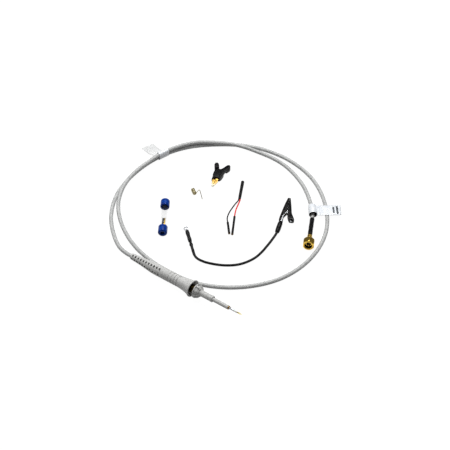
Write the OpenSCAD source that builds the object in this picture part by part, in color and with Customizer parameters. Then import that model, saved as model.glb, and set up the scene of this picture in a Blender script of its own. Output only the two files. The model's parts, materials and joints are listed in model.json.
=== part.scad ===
// Passive oscilloscope probe with its cable, coaxial connector and loose accessories.
// Millimetres, +Z up. The origin is on the table, under the middle of the probe and accessories.

/* [Cable boot] */
// Length of the flexible boot
boot_len = 37; // [36:1:40]
// Radius of the boot where the cable enters
boot_rear_r = 2.2; // [2.1:0.1:2.6]
// Distance from the cable end at which the boot reaches its full radius
boot_full_u = 23; // [20:1:26]
// Radius of the hole for the cable
boot_bore_r = 1.6; // [1.56:0.02:1.7]
// Number of flex slots in each row
slot_count = 11; // [8:1:11]
// Length of a flex slot along the boot
slot_w = 1.15; // [0.8:0.05:1.4]
// Width of a flex slot around the boot
slot_across = 1.6; // [1:0.05:1.8]

/* [Handle] */
// Length of the handle from the boot to its front edge
handle_len = 20.3; // [19:0.1:24]
// Radius of the grip
handle_r = 4.15; // [4.1:0.05:4.5]
// Radius of the finger guard
flange_r = 6.4; // [6:0.1:7.5]
// Wall of the handle's inner tube
spigot_wall = 0.55; // [0.45:0.05:0.6]
// Length of the tube that the boot slides over
spigot_len = 7; // [6:0.5:8]
// Distance between grip grooves
groove_pitch = 2.45; // [2.2:0.05:2.6]
// Depth of a grip groove
groove_depth = 0.35; // [0.2:0.05:0.4]

/* [Nose] */
// Gap between the handle and the nose disc
nose_gap = 3; // [2.6:0.1:5]
// Radius of the nose disc
nose_disc_r = 5.5; // [5:0.1:6]
// Thickness of the nose disc
nose_disc_t = 0.8; // [0.7:0.1:1.2]
// Length of the finned cone
cone_len = 3.4; // [2:0.1:4.2]
// Number of fins on the cone
fin_count = 8; // [6:1:10]
// Length of the nose tube
nose_tube_len = 10.7; // [9:0.1:12]
// Radius of the nose tube
nose_tube_r = 2.25; // [2.1:0.05:2.4]
// Length of the front sleeve that shows
front_sleeve_len = 13.4; // [12:0.1:16]
// Radius of the front sleeve
front_sleeve_r = 1.48; // [1.42:0.02:1.6]
// Radius of the brass front housing
housing_r = 3.15; // [3:0.05:3.2]

/* [Tip] */
// Radius of the ground barrel
barrel_r = 1.25; // [1.2:0.01:1.26]
// Length of the ground barrel that shows
barrel_show = 0.8; // [0.5:0.1:1.5]
// Radius of the plated contact tube
contact_r = 0.85; // [0.8:0.01:0.88]
// Length of the contact tube that shows
contact_show = 3.7; // [3:0.1:4.5]
// Length of the tip insulator that shows
insulator_show = 3.3; // [2.5:0.1:4]
// Radius of the tip insulator's head
insulator_r = 0.65; // [0.62:0.01:0.75]
// Length of the tip socket that shows
socket_show = 2.5; // [2:0.1:3]
// Radius of the sprung needle
needle_r = 0.24; // [0.2:0.01:0.25]
// Length of the needle that shows
needle_show = 2; // [1.6:0.1:2.6]

/* [Circuit board] */
// Length of the board
board_len = 12; // [10:0.5:12]
// Width of the board
board_w = 5.4; // [4.8:0.1:5.5]
// Thickness of the board
board_t = 0.8; // [0.6:0.1:1]

/* [Cable] */
// Diameter of the cable
cable_d = 3; // [2.8:0.05:3.1]
// Radius of the cable's inner insulation
dielectric_r = 0.75; // [0.6:0.05:0.8]
// Radius of the cable's inner wire
core_r = 0.25; // [0.15:0.05:0.25]

/* [Connector] */
// Width of the coupling nut across its flats
nut_af = 8; // [7.6:0.1:8.2]
// Length of the coupling nut
nut_len = 6.6; // [6.2:0.1:7.4]
// Radius of the nut's threaded bore
thread_r = 2.79; // [2.75:0.01:2.85]
// Radius of the centre pin
pin_r = 0.46; // [0.4:0.01:0.5]
// Length of the crimp ferrule
ferrule_len = 3.9; // [3.5:0.1:5]
// Length of the heat shrink
shrink_len = 20; // [16:1:22]
// Radius of the heat shrink
shrink_r = 1.8; // [1.75:0.05:2]

/* [Cable labels] */
// Length of a label along the cable
label_w = 9; // [8:0.5:10]
// Thickness of a label
label_t = 0.2; // [0.15:0.05:0.3]
// Inner radius of the connector end label
ring_label_r = 3; // [2.6:0.1:3.2]
// Length of the connector end label's flag
flag_len = 18.4; // [14:0.2:22]
// Width of the connector end label's flag
flag_w = 10.6; // [9:0.2:12]

/* [Tip vial] */
// Length of the closed vial
vial_len = 35; // [32:1:40]
// Radius of a vial cap
cap_r = 3.5; // [3.2:0.1:4]
// Length of a vial cap
cap_len = 7; // [6:0.1:8]
// Outer radius of the clear tube
vial_r = 2.45; // [2.3:0.05:2.6]
// Wall of the clear tube
vial_wall = 0.45; // [0.35:0.05:0.5]
// Radius of a spare tip
spare_r = 0.58; // [0.5:0.02:0.6]
// Length of a spare tip
spare_len = 9.5; // [8:0.5:11]

/* [Ground spring] */
// Diameter of the ground spring's wire
spring_wire_d = 0.55; // [0.5:0.01:0.58]
// Radius of the coil at the middle of the wire
coil_r = 1.3; // [1.25:0.05:1.4]
// Distance between the coil's turns
coil_pitch = 0.7; // [0.68:0.01:0.8]
// Number of turns
coil_turns = 7; // [5:1:8]

/* [Mini clip] */
// Thickness of the mini clip
mini_t = 4.4; // [4:0.1:5]
// Width of a finger pad
finger_w = 3.7; // [3.2:0.1:4]
// Radius of the mini clip's pivot pin
mini_pin_r = 0.6; // [0.5:0.05:0.7]
// Reach of the plated jaws in front of the body
mini_jaw_reach = 7.4; // [6:0.2:9]

/* [Y lead] */
// Length of the adapter sleeve
adapter_len = 20.4; // [18:0.2:22]
// Radius of the adapter sleeve
adapter_r = 1.3; // [1.2:0.05:1.5]
// Radius of the adapter's socket bore
lead_bore_r = 0.5; // [0.45:0.01:0.55]
// Diameter of the two thin wires
thin_wire_d = 1; // [0.9:0.05:1.05]
// Radius of a wire end sleeve
end_sleeve_r = 0.9; // [0.85:0.05:1]
// Bore of the small pin sockets
pin_socket_bore_r = 0.42; // [0.38:0.01:0.45]

/* [Ground lead] */
// Outer radius of the ring terminal
ring_r = 1.8; // [1.7:0.05:2]
// Bore radius of the ring terminal
ring_bore_r = 1.25; // [1.2:0.01:1.3]
// Diameter of the ground wire
ground_wire_d = 1.9; // [1.7:0.05:1.95]
// Radius of the sleeve on the ring terminal
lug_sleeve_r = 1.5; // [1.4:0.05:1.7]
// Radius of the sleeve on the wire
wire_sleeve_r = 1.2; // [1.15:0.05:1.3]

/* [Ground clip] */
// Thickness of the ground clip
clip_t = 4.6; // [4.4:0.1:5.6]
// Length of the clip's nose in front of the pivot
nose_len = 14.5; // [13.5:0.1:16]
// Radius of the clip's pivot pin
clip_pin_r = 0.8; // [0.7:0.05:0.9]
// Thickness of the clip's steel
clip_steel_t = 0.4; // [0.35:0.05:0.45]
// Wall of the clip's plastic boots
clip_boot_t = 0.5; // [0.4:0.05:0.55]

/* [Hidden] */
$fn = 48;
// Running clearance on the radius
fit = 0.04;
// Overshoot that lets a cut leave its solid
over = 0.2;

grip_grey = [0.78, 0.78, 0.76];
cable_grey = [0.72, 0.72, 0.72];
black_pvc = [0.10, 0.10, 0.11];
gold = [0.85, 0.65, 0.25];
chrome = [0.80, 0.81, 0.83];
deep_blue = [0.05, 0.16, 0.55];
white = [0.94, 0.94, 0.93];

// ---- Shared forms -------------------------------------------------------------------------

// A solid of revolution about +X; the profile is a list of [radius, distance along X]
module turned(profile) {
    rotate([0, 90, 0]) rotate_extrude() polygon(profile);
}

module rod(from, to, r) {
    turned([[0, from], [r, from], [r, to], [0, to]]);
}

module pipe(from, to, r_out, r_in) {
    turned([[r_in, from], [r_out, from], [r_out, to], [r_in, to]]);
}

// A flat bar with round ends, from p to q
module bar(p, q, w) {
    length = norm(q - p);
    translate(p) circle(d = w);
    translate(q) circle(d = w);
    translate(p) rotate(atan2(q[1] - p[1], q[0] - p[0])) translate([0, -w / 2]) square([length, w]);
}

function unit(v) = v / norm(v);
function ahead(p, i) = unit(p[min(i + 1, len(p) - 1)] - p[max(i - 1, 0)]);
function upright(side, t) = unit(side - t * (side * t));

// Smooth curve from b to c; a and d are the points before and after, and the roots of the
// spacings keep it from overshooting where the points are unevenly spread
function between(a, b, c, d, t) =
    let (ab = sqrt(norm(b - a)), bc = sqrt(norm(c - b)), cd = sqrt(norm(d - c)),
         leave = c - b + bc * ((b - a) / ab - (c - a) / (ab + bc)),
         arrive = c - b + bc * ((d - c) / cd - (d - b) / (bc + cd)))
    (2 * (b - c) + leave + arrive) * t * t * t - (3 * (b - c) + 2 * leave + arrive) * t * t
    + leave * t + b;
function smooth(p, n) = concat(
    [for (i = [0 : len(p) - 2], k = [0 : n - 1])
        between(i > 0 ? p[i - 1] : 2 * p[0] - p[1], p[i], p[i + 1],
                i + 2 < len(p) ? p[i + 2] : 2 * p[i + 1] - p[i], k / n)],
    [p[len(p) - 1]]);

// A path kept from sinking into the table
function on_table(p, r) = [for (q = p) [q[0], q[1], max(q[2], r)]];

// A round wire along the points p: each ring stands square to the path and keeps its side
// vector from the ring before, so that it never twists
module wire(p, r, sides, first_side) {
    count = len(p);
    side = [for (i = 0, s = upright(first_side, ahead(p, 0)); i < count;
                 i = i + 1, s = upright(s, ahead(p, min(i, count - 1)))) s];
    ring = [for (i = [0 : count - 1], k = [0 : sides - 1])
        let (t = ahead(p, i), a = 360 * (k + 0.5) / sides)
            p[i] + r * (cos(a) * side[i] + sin(a) * cross(t, side[i]))];
    last = count * sides;
    walls = [for (i = [0 : count - 2], k = [0 : sides - 1])
        let (a = i * sides + k, b = i * sides + (k + 1) % sides)
            each [[a, a + sides, b], [b, a + sides, b + sides]]];
    caps = [for (k = [0 : sides - 1]) let (n = (k + 1) % sides)
        each [[last, k, n], [last + 1, last - sides + n, last - sides + k]]];
    polyhedron(concat(ring, [p[0], p[count - 1]]), concat(walls, caps));
}

// Least distance between stretches of a wire that lie more than apart points from each other
function least_gap(p, apart, d) =
    min([for (i = [0 : len(p) - 1], j = [0 : len(p) - 1]) if (j > i + apart) norm(p[i] - p[j])]) - d;

// ---- Probe --------------------------------------------------------------------------------

// The probe lies along +X on its boot and its finger guard; u runs from the boot's cable end
probe_x = -40.4;
probe_y = -57;
joint_u = boot_len;
handle_end = boot_len + handle_len;
guard_u = handle_end - 0.6;
probe_tilt = atan((flange_r - handle_r) / (guard_u - boot_full_u));
probe_z = handle_r * cos(probe_tilt) - boot_full_u * sin(probe_tilt);

spigot_u = joint_u - spigot_len;
spigot_r = handle_r - 1.15;
cavity_u = joint_u + 1.5;
crimp_r = spigot_r - spigot_wall;
jacket_u = spigot_u - 0.5;
braid_len = spigot_len - 1;

nose_u = handle_end + nose_gap;
cone_u = nose_u + nose_disc_t;
nose_tube_u = cone_u + cone_len;
nose_end = nose_tube_u + nose_tube_len;
sleeve_socket = 2.2;
sleeve_seat_r = front_sleeve_r + 0.17;
sleeve_end = nose_end + front_sleeve_len;
barrel_end = sleeve_end + barrel_show;
contact_end = barrel_end + contact_show;
insulator_end = contact_end + insulator_show;
socket_end = insulator_end + socket_show;
needle_end = socket_end + needle_show;
tip_wall = 0.25;
plunger_u = contact_end - 0.1;
bore_end = plunger_u - 3.6;

housing_len = 5.8;
housing_u = handle_end - housing_len;
housing_seat = 1;
board_u = housing_u - board_len - 0.5;
board_top = -0.3;
barrel_bore_r = contact_r + 0.05;
socket_r = needle_r + 0.21;

module at_probe() {
    translate([probe_x, probe_y, probe_z]) rotate([0, -probe_tilt, 0]) children();
}

module cable_boot() {
    wall_u = spigot_u - 0.5;
    slot_first = 1.7;
    slot_pitch = (wall_u - 0.65 - slot_w - slot_first) / (slot_count - 1);
    row_turn = 21;
    row_apart = 62;
    color(grip_grey) at_probe() difference() {
        turned([[boot_bore_r, 0], [boot_rear_r, 0], [boot_rear_r + 0.15, 0.6],
                [(boot_rear_r + handle_r) / 2 - 0.25, boot_full_u * 0.42],
                [handle_r - 0.25, boot_full_u * 0.84], [handle_r, boot_full_u],
                [handle_r, joint_u - 0.4], [handle_r - groove_depth, joint_u],
                [spigot_r + fit, joint_u], [spigot_r + fit, wall_u], [boot_bore_r, wall_u]]);
        for (half_turn = [0, 180], row = [row_turn, row_turn + row_apart], i = [0 : slot_count - 1])
            rotate([half_turn + row, 0, 0])
                translate([slot_first + i * slot_pitch, -slot_across / 2, boot_bore_r - 0.4])
                    cube([slot_w, slot_across, handle_r]);
    }
}

module handle_shell() {
    groove_first = joint_u + 3.1;
    groove_w = 0.7;
    recess_u = handle_end - 2.8;
    color(grip_grey) at_probe() difference() {
        turned([[crimp_r, spigot_u], [spigot_r, spigot_u], [spigot_r, joint_u],
                [handle_r - groove_depth, joint_u], [handle_r, joint_u + 0.4],
                [handle_r, handle_end - 11.3], [handle_r + 0.35, handle_end - 7.5],
                [handle_r + 1.15, guard_u - 2.7], [flange_r - 0.5, guard_u - 0.7],
                [flange_r, guard_u], [flange_r - 0.2, handle_end],
                [flange_r - 0.8, handle_end], [handle_r + 0.1, recess_u],
                [housing_r + fit, recess_u], [housing_r + fit, cavity_u], [crimp_r, cavity_u]]);
        for (i = [0 : 2])
            pipe(groove_first + i * groove_pitch - groove_w / 2,
                 groove_first + i * groove_pitch + groove_w / 2,
                 handle_r + 1, handle_r - groove_depth);
    }
}

module cable_braid() {
    color("silver") at_probe() pipe(jacket_u + 0.1, jacket_u + braid_len, cable_d / 2 - 0.15, dielectric_r);
}

module crimp_sleeve() {
    color(gold) at_probe()
        pipe(spigot_u + 0.2, jacket_u + braid_len + 0.2, crimp_r - fit, cable_d / 2 - 0.13);
}

module cable_dielectric() {
    color(white) at_probe() pipe(jacket_u + 0.1, cavity_u, dielectric_r, core_r);
}

module cable_core() {
    color("peru") at_probe() rod(jacket_u + 0.1, board_u + 2.5, core_r);
}

module circuit_board() {
    color("darkgreen") at_probe()
        translate([board_u, -board_w / 2, board_top - board_t]) cube([board_len, board_w, board_t]);
}

module tip_resistor() {
    body_r = 0.5;
    lead_r = 0.12;
    from = board_u + 4.3;
    color("skyblue") at_probe() translate([0, 0, board_top + body_r])
        turned([[0, from], [lead_r, from], [lead_r, from + 1], [body_r, from + 1],
                [body_r, from + 4.4], [lead_r, from + 4.4], [lead_r, from + 5.4], [0, from + 5.4]]);
}

module chip_components() {
    chip = [1, 0.5, 0.4];
    edge_y = board_w / 2 - 0.9;
    color("tan") at_probe()
        for (spot = [[1.2, edge_y], [4, edge_y], [6.4, edge_y], [9, edge_y], [1.2, -edge_y], [9, -edge_y]])
            translate([board_u + spot[0] - chip[0] / 2, spot[1] - chip[1] / 2, board_top]) cube(chip);
}

module trimmer_capacitor() {
    trim_r = 0.9;
    height = 0.9;
    color("orange") at_probe()
        translate([board_u + 5.5, trim_r + 0.1 - board_w / 2, board_top]) difference() {
            cylinder(h = height, r = trim_r);
            translate([-trim_r, -0.1, height - 0.3]) cube([2 * trim_r, 0.2, 1]);
        }
}

module front_housing() {
    step_u = housing_u + 1.3;
    housing_end = nose_u + housing_seat;
    color(gold) at_probe()
        turned([[barrel_bore_r, housing_u], [housing_r, housing_u], [housing_r, housing_end],
                [barrel_r + 0.02, housing_end], [barrel_r + 0.02, step_u], [barrel_bore_r, step_u]]);
}

module nose_cone() {
    bore_r = barrel_r + 0.05;
    cone_r = nose_disc_r - 1.2;
    collar_len = 1.3;
    fin_t = 1;
    color(grip_grey) at_probe() difference() {
        union() {
            turned([[0, nose_u], [nose_disc_r - 0.3, nose_u], [nose_disc_r, nose_u + 0.3],
                    [nose_disc_r, cone_u - 0.3], [nose_disc_r - 0.3, cone_u], [cone_r, cone_u],
                    [nose_tube_r, nose_tube_u], [nose_tube_r, nose_end - collar_len],
                    [nose_tube_r + 0.12, nose_end - collar_len], [nose_tube_r + 0.12, nose_end - 0.2],
                    [nose_tube_r, nose_end], [0, nose_end]]);
            for (i = [0 : fin_count - 1])
                rotate([360 * (i + 0.5) / fin_count, 0, 0]) rotate([90, 0, 0])
                    translate([0, 0, -fin_t / 2]) linear_extrude(fin_t)
                        polygon([[cone_u - 0.4, 1.8], [cone_u - 0.4, nose_disc_r - 0.35],
                                 [cone_u + 0.6, nose_disc_r - 0.5], [nose_tube_u - 0.2, nose_tube_r + 0.15],
                                 [nose_tube_u - 0.2, 1.8]]);
        }
        rod(nose_u - over, nose_end + over, bore_r);
        rod(nose_u - over, nose_u + housing_seat, housing_r + 0.03);
        rod(nose_end - sleeve_socket, nose_end + over, sleeve_seat_r + 0.02);
    }
}

module front_sleeve() {
    color(grip_grey) at_probe()
        turned([[barrel_r + 0.03, nose_end - sleeve_socket], [sleeve_seat_r, nose_end - sleeve_socket],
                [sleeve_seat_r, nose_end - 0.1], [front_sleeve_r, nose_end - 0.1],
                [front_sleeve_r, sleeve_end - 0.15], [front_sleeve_r - 0.1, sleeve_end],
                [barrel_r + 0.03, sleeve_end]]);
}

module ground_barrel() {
    color(gold) at_probe() pipe(housing_u + 1.3, barrel_end, barrel_r, barrel_bore_r);
}

module contact_tube() {
    color(chrome) at_probe()
        turned([[insulator_r - 0.05, barrel_end - 3.3], [contact_r - 0.17, barrel_end - 3.3],
                [contact_r - 0.17, barrel_end], [contact_r, barrel_end],
                [contact_r, contact_end - 0.15], [contact_r - 0.1, contact_end],
                [insulator_r - 0.05, contact_end]]);
}

module barrel_dielectric() {
    color(white) at_probe() pipe(housing_u - 0.2, barrel_end - 3.4, barrel_bore_r - fit, 0.22);
}

module center_conductor() {
    color("peru") at_probe() rod(board_u + board_len - 1, bore_end - tip_wall - 0.3, 0.2);
}

module tip_insulator() {
    color(white) at_probe()
        turned([[socket_r + 0.02, bore_end - tip_wall], [insulator_r - 0.07, bore_end - tip_wall],
                [insulator_r - 0.07, contact_end], [insulator_r, contact_end],
                [insulator_r, insulator_end - 0.1], [insulator_r - 0.08, insulator_end],
                [socket_r + 0.02, insulator_end]]);
}

module tip_socket() {
    bore_r = needle_r + fit;
    color(gold) at_probe()
        turned([[0, bore_end - tip_wall], [socket_r, bore_end - tip_wall], [socket_r, insulator_end],
                [socket_r + 0.1, insulator_end], [socket_r + 0.1, socket_end - 0.1],
                [socket_r, socket_end], [bore_r, socket_end], [bore_r, bore_end], [0, bore_end]]);
}

module tip_spring() {
    color("silver") at_probe() pipe(bore_end + 0.02, plunger_u - 0.02, needle_r + 0.01, needle_r - 0.08);
}

module tip_plunger() {
    color(gold) at_probe()
        turned([[0, plunger_u], [needle_r, plunger_u], [needle_r, needle_end - 1.2],
                [0.05, needle_end], [0, needle_end]]);
}

// ---- Coaxial connector --------------------------------------------------------------------

// It lies on its coupling nut and the end of its heat shrink; s runs from the nut's open face
connector_x = 56.2;
connector_y = 28;
connector_turn = 119;
nut_flat = nut_af / 2;
ferrule_s = nut_len + 1.05;
shrink_s = ferrule_s + ferrule_len;
shrink_end = shrink_s + shrink_len;
connector_tilt = atan((nut_flat - shrink_r) / (shrink_end - nut_len));
connector_z = nut_flat * cos(connector_tilt) + nut_len * sin(connector_tilt);
neck_r = thread_r - 0.33;
ring_s = nut_len - 2.7;
shoulder_s = ring_s + 0.55;

module at_connector() {
    translate([connector_x, connector_y, connector_z])
        rotate([0, 0, connector_turn]) rotate([0, connector_tilt, 0]) children();
}

function connector_point(s) = [
    connector_x + s * cos(connector_tilt) * cos(connector_turn),
    connector_y + s * cos(connector_tilt) * sin(connector_turn),
    connector_z - s * sin(connector_tilt)];

module coupling_nut() {
    corner_r = nut_flat / cos(30);
    color(gold) at_connector() difference() {
        intersection() {
            rotate([0, 90, 0]) rotate([0, 0, 30]) cylinder(h = nut_len, r = corner_r, $fn = 6);
            turned([[0, 0], [nut_flat + 0.1, 0], [corner_r + 0.1, 0.5],
                    [corner_r + 0.1, nut_len - 0.5], [nut_flat + 0.1, nut_len], [0, nut_len]]);
        }
        rod(-over, shoulder_s, thread_r);
        rod(-over, nut_len + over, neck_r + fit);
    }
}

module connector_body() {
    shell_r = thread_r - 0.49;
    bore_r = thread_r - 1.02;
    flange_s = nut_len + 0.35;
    color(gold) at_connector()
        turned([[bore_r, 2.2], [shell_r, 2.2], [shell_r, ring_s], [shell_r - 0.3, ring_s],
                [shell_r - 0.3, shoulder_s], [neck_r, shoulder_s], [neck_r, flange_s],
                [neck_r + 0.55, flange_s], [neck_r + 0.55, flange_s + 0.25],
                [cable_d / 2 + 0.4, ferrule_s], [0.95, ferrule_s], [0.95, ferrule_s + 1.7],
                [dielectric_r + 0.03, ferrule_s + 1.7], [dielectric_r + 0.03, nut_len + 0.2],
                [bore_r, nut_len + 0.2]]);
}

module connector_insulator() {
    color(white) at_connector() pipe(2.2, nut_len + 0.15, thread_r - 1.04, pin_r + 0.02);
}

module center_pin() {
    color(gold) at_connector()
        turned([[0, 0.3], [0.2, 0.3], [pin_r, 0.8], [pin_r, nut_len], [0, nut_len]]);
}

module snap_ring() {
    color("silver") at_connector() pipe(ring_s + 0.05, shoulder_s - 0.05, thread_r - 0.09, thread_r - 0.75);
}

module connector_ferrule() {
    color(gold) at_connector() pipe(ferrule_s, shrink_s, shrink_r + 0.1, cable_d / 2 + 0.04);
}

module connector_shrink() {
    color(black_pvc) at_connector()
        pipe(shrink_s, shrink_end, shrink_r, cable_d / 2 + 0.14);
}

// ---- Probe cable --------------------------------------------------------------------------

function probe_point(u) = [
    probe_x + u * cos(probe_tilt), probe_y, probe_z + u * sin(probe_tilt)];

// From inside the boot, once round below, once round above, and into the connector
cable_route = concat(
    [probe_point(jacket_u), probe_point(0), probe_point(-5)],
    [
        [-54, -55, 1.6], [-65.5, -48.4, 1.5], [-81, -34.4, 1.5], [-93.2, -14, 1.5],
        [-98.2, 10.1, 1.6], [-96.2, 35, 1.95], [-87, 58.6, 1.75], [-69.6, 78.2, 1.5],
        [-44.5, 94.3, 1.5], [-15, 99.5, 1.5], [14.5, 93, 1.5], [40, 74.5, 1.5],
        [57.2, 49.5, 1.5], [63, 20.5, 1.5], [57.5, -7.5, 1.5], [41, -30.8, 1.5],
        [16.5, -46.8, 1.5], [-13, -51.8, 1.5], [-42.5, -48.4, 1.5], [-67.5, -37, 1.5],
        [-84.7, -22.2, 1.8], [-91.8, -9.9, 3.9], [-95.1, 1.1, 4.7], [-96.7, 13.5, 4.65],
        [-95.9, 26.1, 5.05], [-94.2, 40.9, 5.1], [-88.8, 55.8, 5], [-80.7, 68.2, 4.75],
        [-69.2, 77.1, 4.7], [-54, 86, 4.1], [-36, 92.2, 1.6], [-12, 92.4, 1.5],
        [12.5, 82.9, 1.5], [30, 69.2, 1.6], [36.9, 61.9, 1.9]
    ],
    [connector_point(shrink_end - 2), connector_point(ferrule_s + 1.9)]);
cable_path = on_table(smooth(cable_route, 2), cable_d / 2);
echo(cable_gap = least_gap(cable_path, 4, cable_d));

module probe_cable() {
    color(cable_grey) wire(cable_path, cable_d / 2, 8, [0, 0, 1]);
}

// ---- Cable labels -------------------------------------------------------------------------

// Two strands run through this label, one on top of the other
module probe_end_label() {
    label_x = -94.15;
    label_y = 42;
    bore_r = cable_d / 2 + 0.3;
    out_r = bore_r + label_t;
    upper = (cable_d + 0.15) * [-0.13, 0.99];
    color(white) translate([label_x, label_y, out_r]) rotate([0, 0, 75]) {
        rotate([90, 0, 90]) translate([0, 0, -label_w / 2]) linear_extrude(label_w) difference() {
            bar([0, 0], upper, 2 * out_r);
            bar([0, 0], upper, 2 * bore_r);
        }
        translate([0, 0, 0.1]) linear_extrude(label_t)
            polygon([[-label_w / 2, out_r - 0.1], [-label_w + 0.6, 7.8], [-label_w - 0.1, 17.3],
                     [1.3, 16.3], [1.5, 7.6], [label_w / 2, out_r - 0.1]]);
    }
}

module connector_end_label() {
    out_r = ring_label_r + label_t;
    color(white) translate([36.9, 61.9, out_r]) rotate([0, 0, 39]) difference() {
        union() {
            rotate([90, 0, 0]) translate([0, 0, -label_w / 2]) cylinder(h = label_w, r = out_r);
            translate([0, -flag_w / 2, 0]) cube([out_r + flag_len, flag_w, label_t]);
        }
        rotate([90, 0, 0]) translate([0, 0, -flag_w]) cylinder(h = 2 * flag_w, r = ring_label_r);
    }
}

// ---- Tip vial -----------------------------------------------------------------------------

cap_end_wall = 2.2;
seal_t = 0.7;
tube_start = cap_end_wall + seal_t + 0.1;

vial_x = -57.8;
vial_y = 1.7;

module at_vial() {
    translate([vial_x, vial_y, cap_r]) rotate([0, 0, -53.6]) children();
}

module from_far_end() {
    translate([vial_len, 0, 0]) mirror([1, 0, 0]) children();
}

module vial_tube() {
    color([0.92, 0.94, 0.95, 0.5]) at_vial()
        pipe(tube_start, vial_len - tube_start, vial_r, vial_r - vial_wall);
}

module vial_cap() {
    bevel = 0.7;
    turned([[1.6, 0], [cap_r - bevel, 0], [cap_r, bevel], [cap_r, cap_len - 0.3],
            [cap_r - 0.3, cap_len], [vial_r + fit, cap_len], [vial_r + fit, cap_end_wall],
            [1.6, cap_end_wall]]);
}

module cap_seal() {
    rod(cap_end_wall + 0.02, cap_end_wall + seal_t, vial_r);
}

module upper_vial_cap() {
    color(deep_blue) at_vial() vial_cap();
}

module lower_vial_cap() {
    color(deep_blue) at_vial() from_far_end() vial_cap();
}

module upper_cap_seal() {
    color(black_pvc) at_vial() cap_seal();
}

module lower_cap_seal() {
    color(black_pvc) at_vial() from_far_end() cap_seal();
}

// The spare tips lie with their points towards the lower cap
module spare_tip(side) {
    point_at = tube_start + 4.7;
    rest_y = spare_r + 0.04;
    rest_r = vial_r - vial_wall - spare_r - 0.02;
    at_vial() from_far_end() translate([point_at, side * rest_y, -sqrt(rest_r * rest_r - rest_y * rest_y)])
        turned([[0, 0], [0.06, 0], [needle_r, 1.2], [needle_r, 2.6], [spare_r, 3],
                [spare_r, spare_len], [0, spare_len]]);
}

module black_spare_tip() {
    color(black_pvc) spare_tip(-1);
}

module gold_spare_tip() {
    color(gold) spare_tip(1);
}

// ---- Ground spring ------------------------------------------------------------------------

spring_turn = -32.9;
spring_back = [-50.6, 25.9, coil_r + spring_wire_d / 2];
spring_axis = [cos(spring_turn), sin(spring_turn), 0];
spring_side = [-sin(spring_turn), cos(spring_turn), 0];
coil_end = spring_back + coil_turns * coil_pitch * spring_axis;

spring_path = concat(
    [for (i = [0 : 8 * coil_turns]) let (a = 45 * i)
        spring_back + coil_pitch * i / 8 * spring_axis
        + coil_r * (cos(a) * spring_side + [0, 0, sin(a)])],
    [for (step = [[0.3, 1.5, 0.8], [0.5, 2.05, 1.9], [0.75, 2.8, 3], [1.15, 3.4, 3.7],
                  [1.8, 3.7, 3.3], [3.2, 3.85, 1.9], [6.6, 3.9, -1.3]])
        coil_end + step[0] * spring_axis + step[1] * spring_side + [0, 0, step[2]]]);
echo(ground_spring_gap = least_gap(spring_path, 4, spring_wire_d));

module ground_spring() {
    color("silver") wire(spring_path, spring_wire_d / 2, 6, spring_side);
}

// ---- Mini clip ----------------------------------------------------------------------------

// x runs from the crotch of the fingers to the jaws; the halves cross as two layers at the hub
mini_pivot = 5;
layer_t = (mini_t - 0.1) / 2;
mini_front = 10.8;
blade_t = 1.3;

mini_x = -46.1;
mini_y = 54.7;

module at_mini_clip() {
    translate([mini_x, mini_y, 0]) rotate([0, 0, -71.9]) children();
}

// One half's layer seen from above; side is -1 for the left half and 1 for the right half
module mini_half_plan(side) {
    polygon([[-1.4, -side * 2.2], [-0.6, -side * 0.8], [-0.6, side * 0.2],
             [-3.4, side * 3.3], [-2.6, side * 4.6], [-0.4, side * 4.6], [3, side * 4.2],
             [7.5, side * 3.8], [mini_front, side * 3.4], [mini_front, side * 2.2],
             [9.6, side * 2], [9.4, 0], [9.4, -side * 2.4], [7.5, -side * 3.6],
             [3, -side * 4]]);
}

// The layers turn over each other within the circle that the full-thickness fingers stay out of
module mini_half(side) {
    base = side < 0 ? 0 : mini_t - layer_t;
    shank_z = side < 0 ? layer_t - 1 : layer_t + 0.1;
    difference() {
        union() {
            translate([0, 0, base]) linear_extrude(layer_t) mini_half_plan(side);
            linear_extrude(mini_t) bar([-3.2, side * 3.9], [-5.6, side * 5], finger_w);
        }
        translate([mini_pivot, 0, -over]) cylinder(h = mini_t + 1, r = mini_pin_r + fit);
        translate([mini_pivot, 0, mini_t / 2 - 0.75]) cylinder(h = 1.5, r = mini_pin_r + 1.3);
        translate([7.9, side > 0 ? 0.05 : -2.15, shank_z - 0.02]) cube([6, 2.1, 0.94]);
        for (i = [0 : 2]) for (z = [-0.25, mini_t - 0.25])
            translate([-5.6 + i, side * (5 - 0.46 * i), z]) rotate([0, 0, side * -24.6])
                translate([-0.25, -3, 0]) cube([0.5, 6, 0.5]);
    }
}

module mini_jaw(side) {
    shank_z = side < 0 ? layer_t - 1 : layer_t + 0.1;
    shank_x = 8;
    tip = mini_front + mini_jaw_reach;
    translate([shank_x, side > 0 ? 0.1 : -2.1, shank_z]) cube([mini_front + 0.5 - shank_x, 2, 0.9]);
    translate([0, 0, (mini_t - blade_t) / 2]) linear_extrude(blade_t)
        polygon([[mini_front + 0.1, side * 0.1], [mini_front + 0.1, side * 2.1],
                 [mini_front + 1.6, side * 2.1], [tip - 1.4, side * 1.15], [tip, side * 0.7],
                 [tip, side * 0.06], [mini_front + 3, side * 0.06]]);
}

module mini_clip_left() {
    color(black_pvc) at_mini_clip() mini_half(-1);
}

module mini_clip_right() {
    color(black_pvc) at_mini_clip() mini_half(1);
}

module mini_jaw_left() {
    color(gold) at_mini_clip() mini_jaw(-1);
}

module mini_jaw_right() {
    color(gold) at_mini_clip() mini_jaw(1);
}

module mini_clip_pin() {
    color("silver") at_mini_clip() translate([mini_pivot, 0, 0.15])
        cylinder(h = mini_t - 0.3, r = mini_pin_r);
}

module mini_clip_spring() {
    color("silver") at_mini_clip() translate([mini_pivot, 0, mini_t / 2 - 0.65]) difference() {
        cylinder(h = 1.3, r = mini_pin_r + 1.2);
        translate([0, 0, -over]) cylinder(h = 2, r = mini_pin_r + 0.7);
    }
}

// ---- Y lead -------------------------------------------------------------------------------

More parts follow.
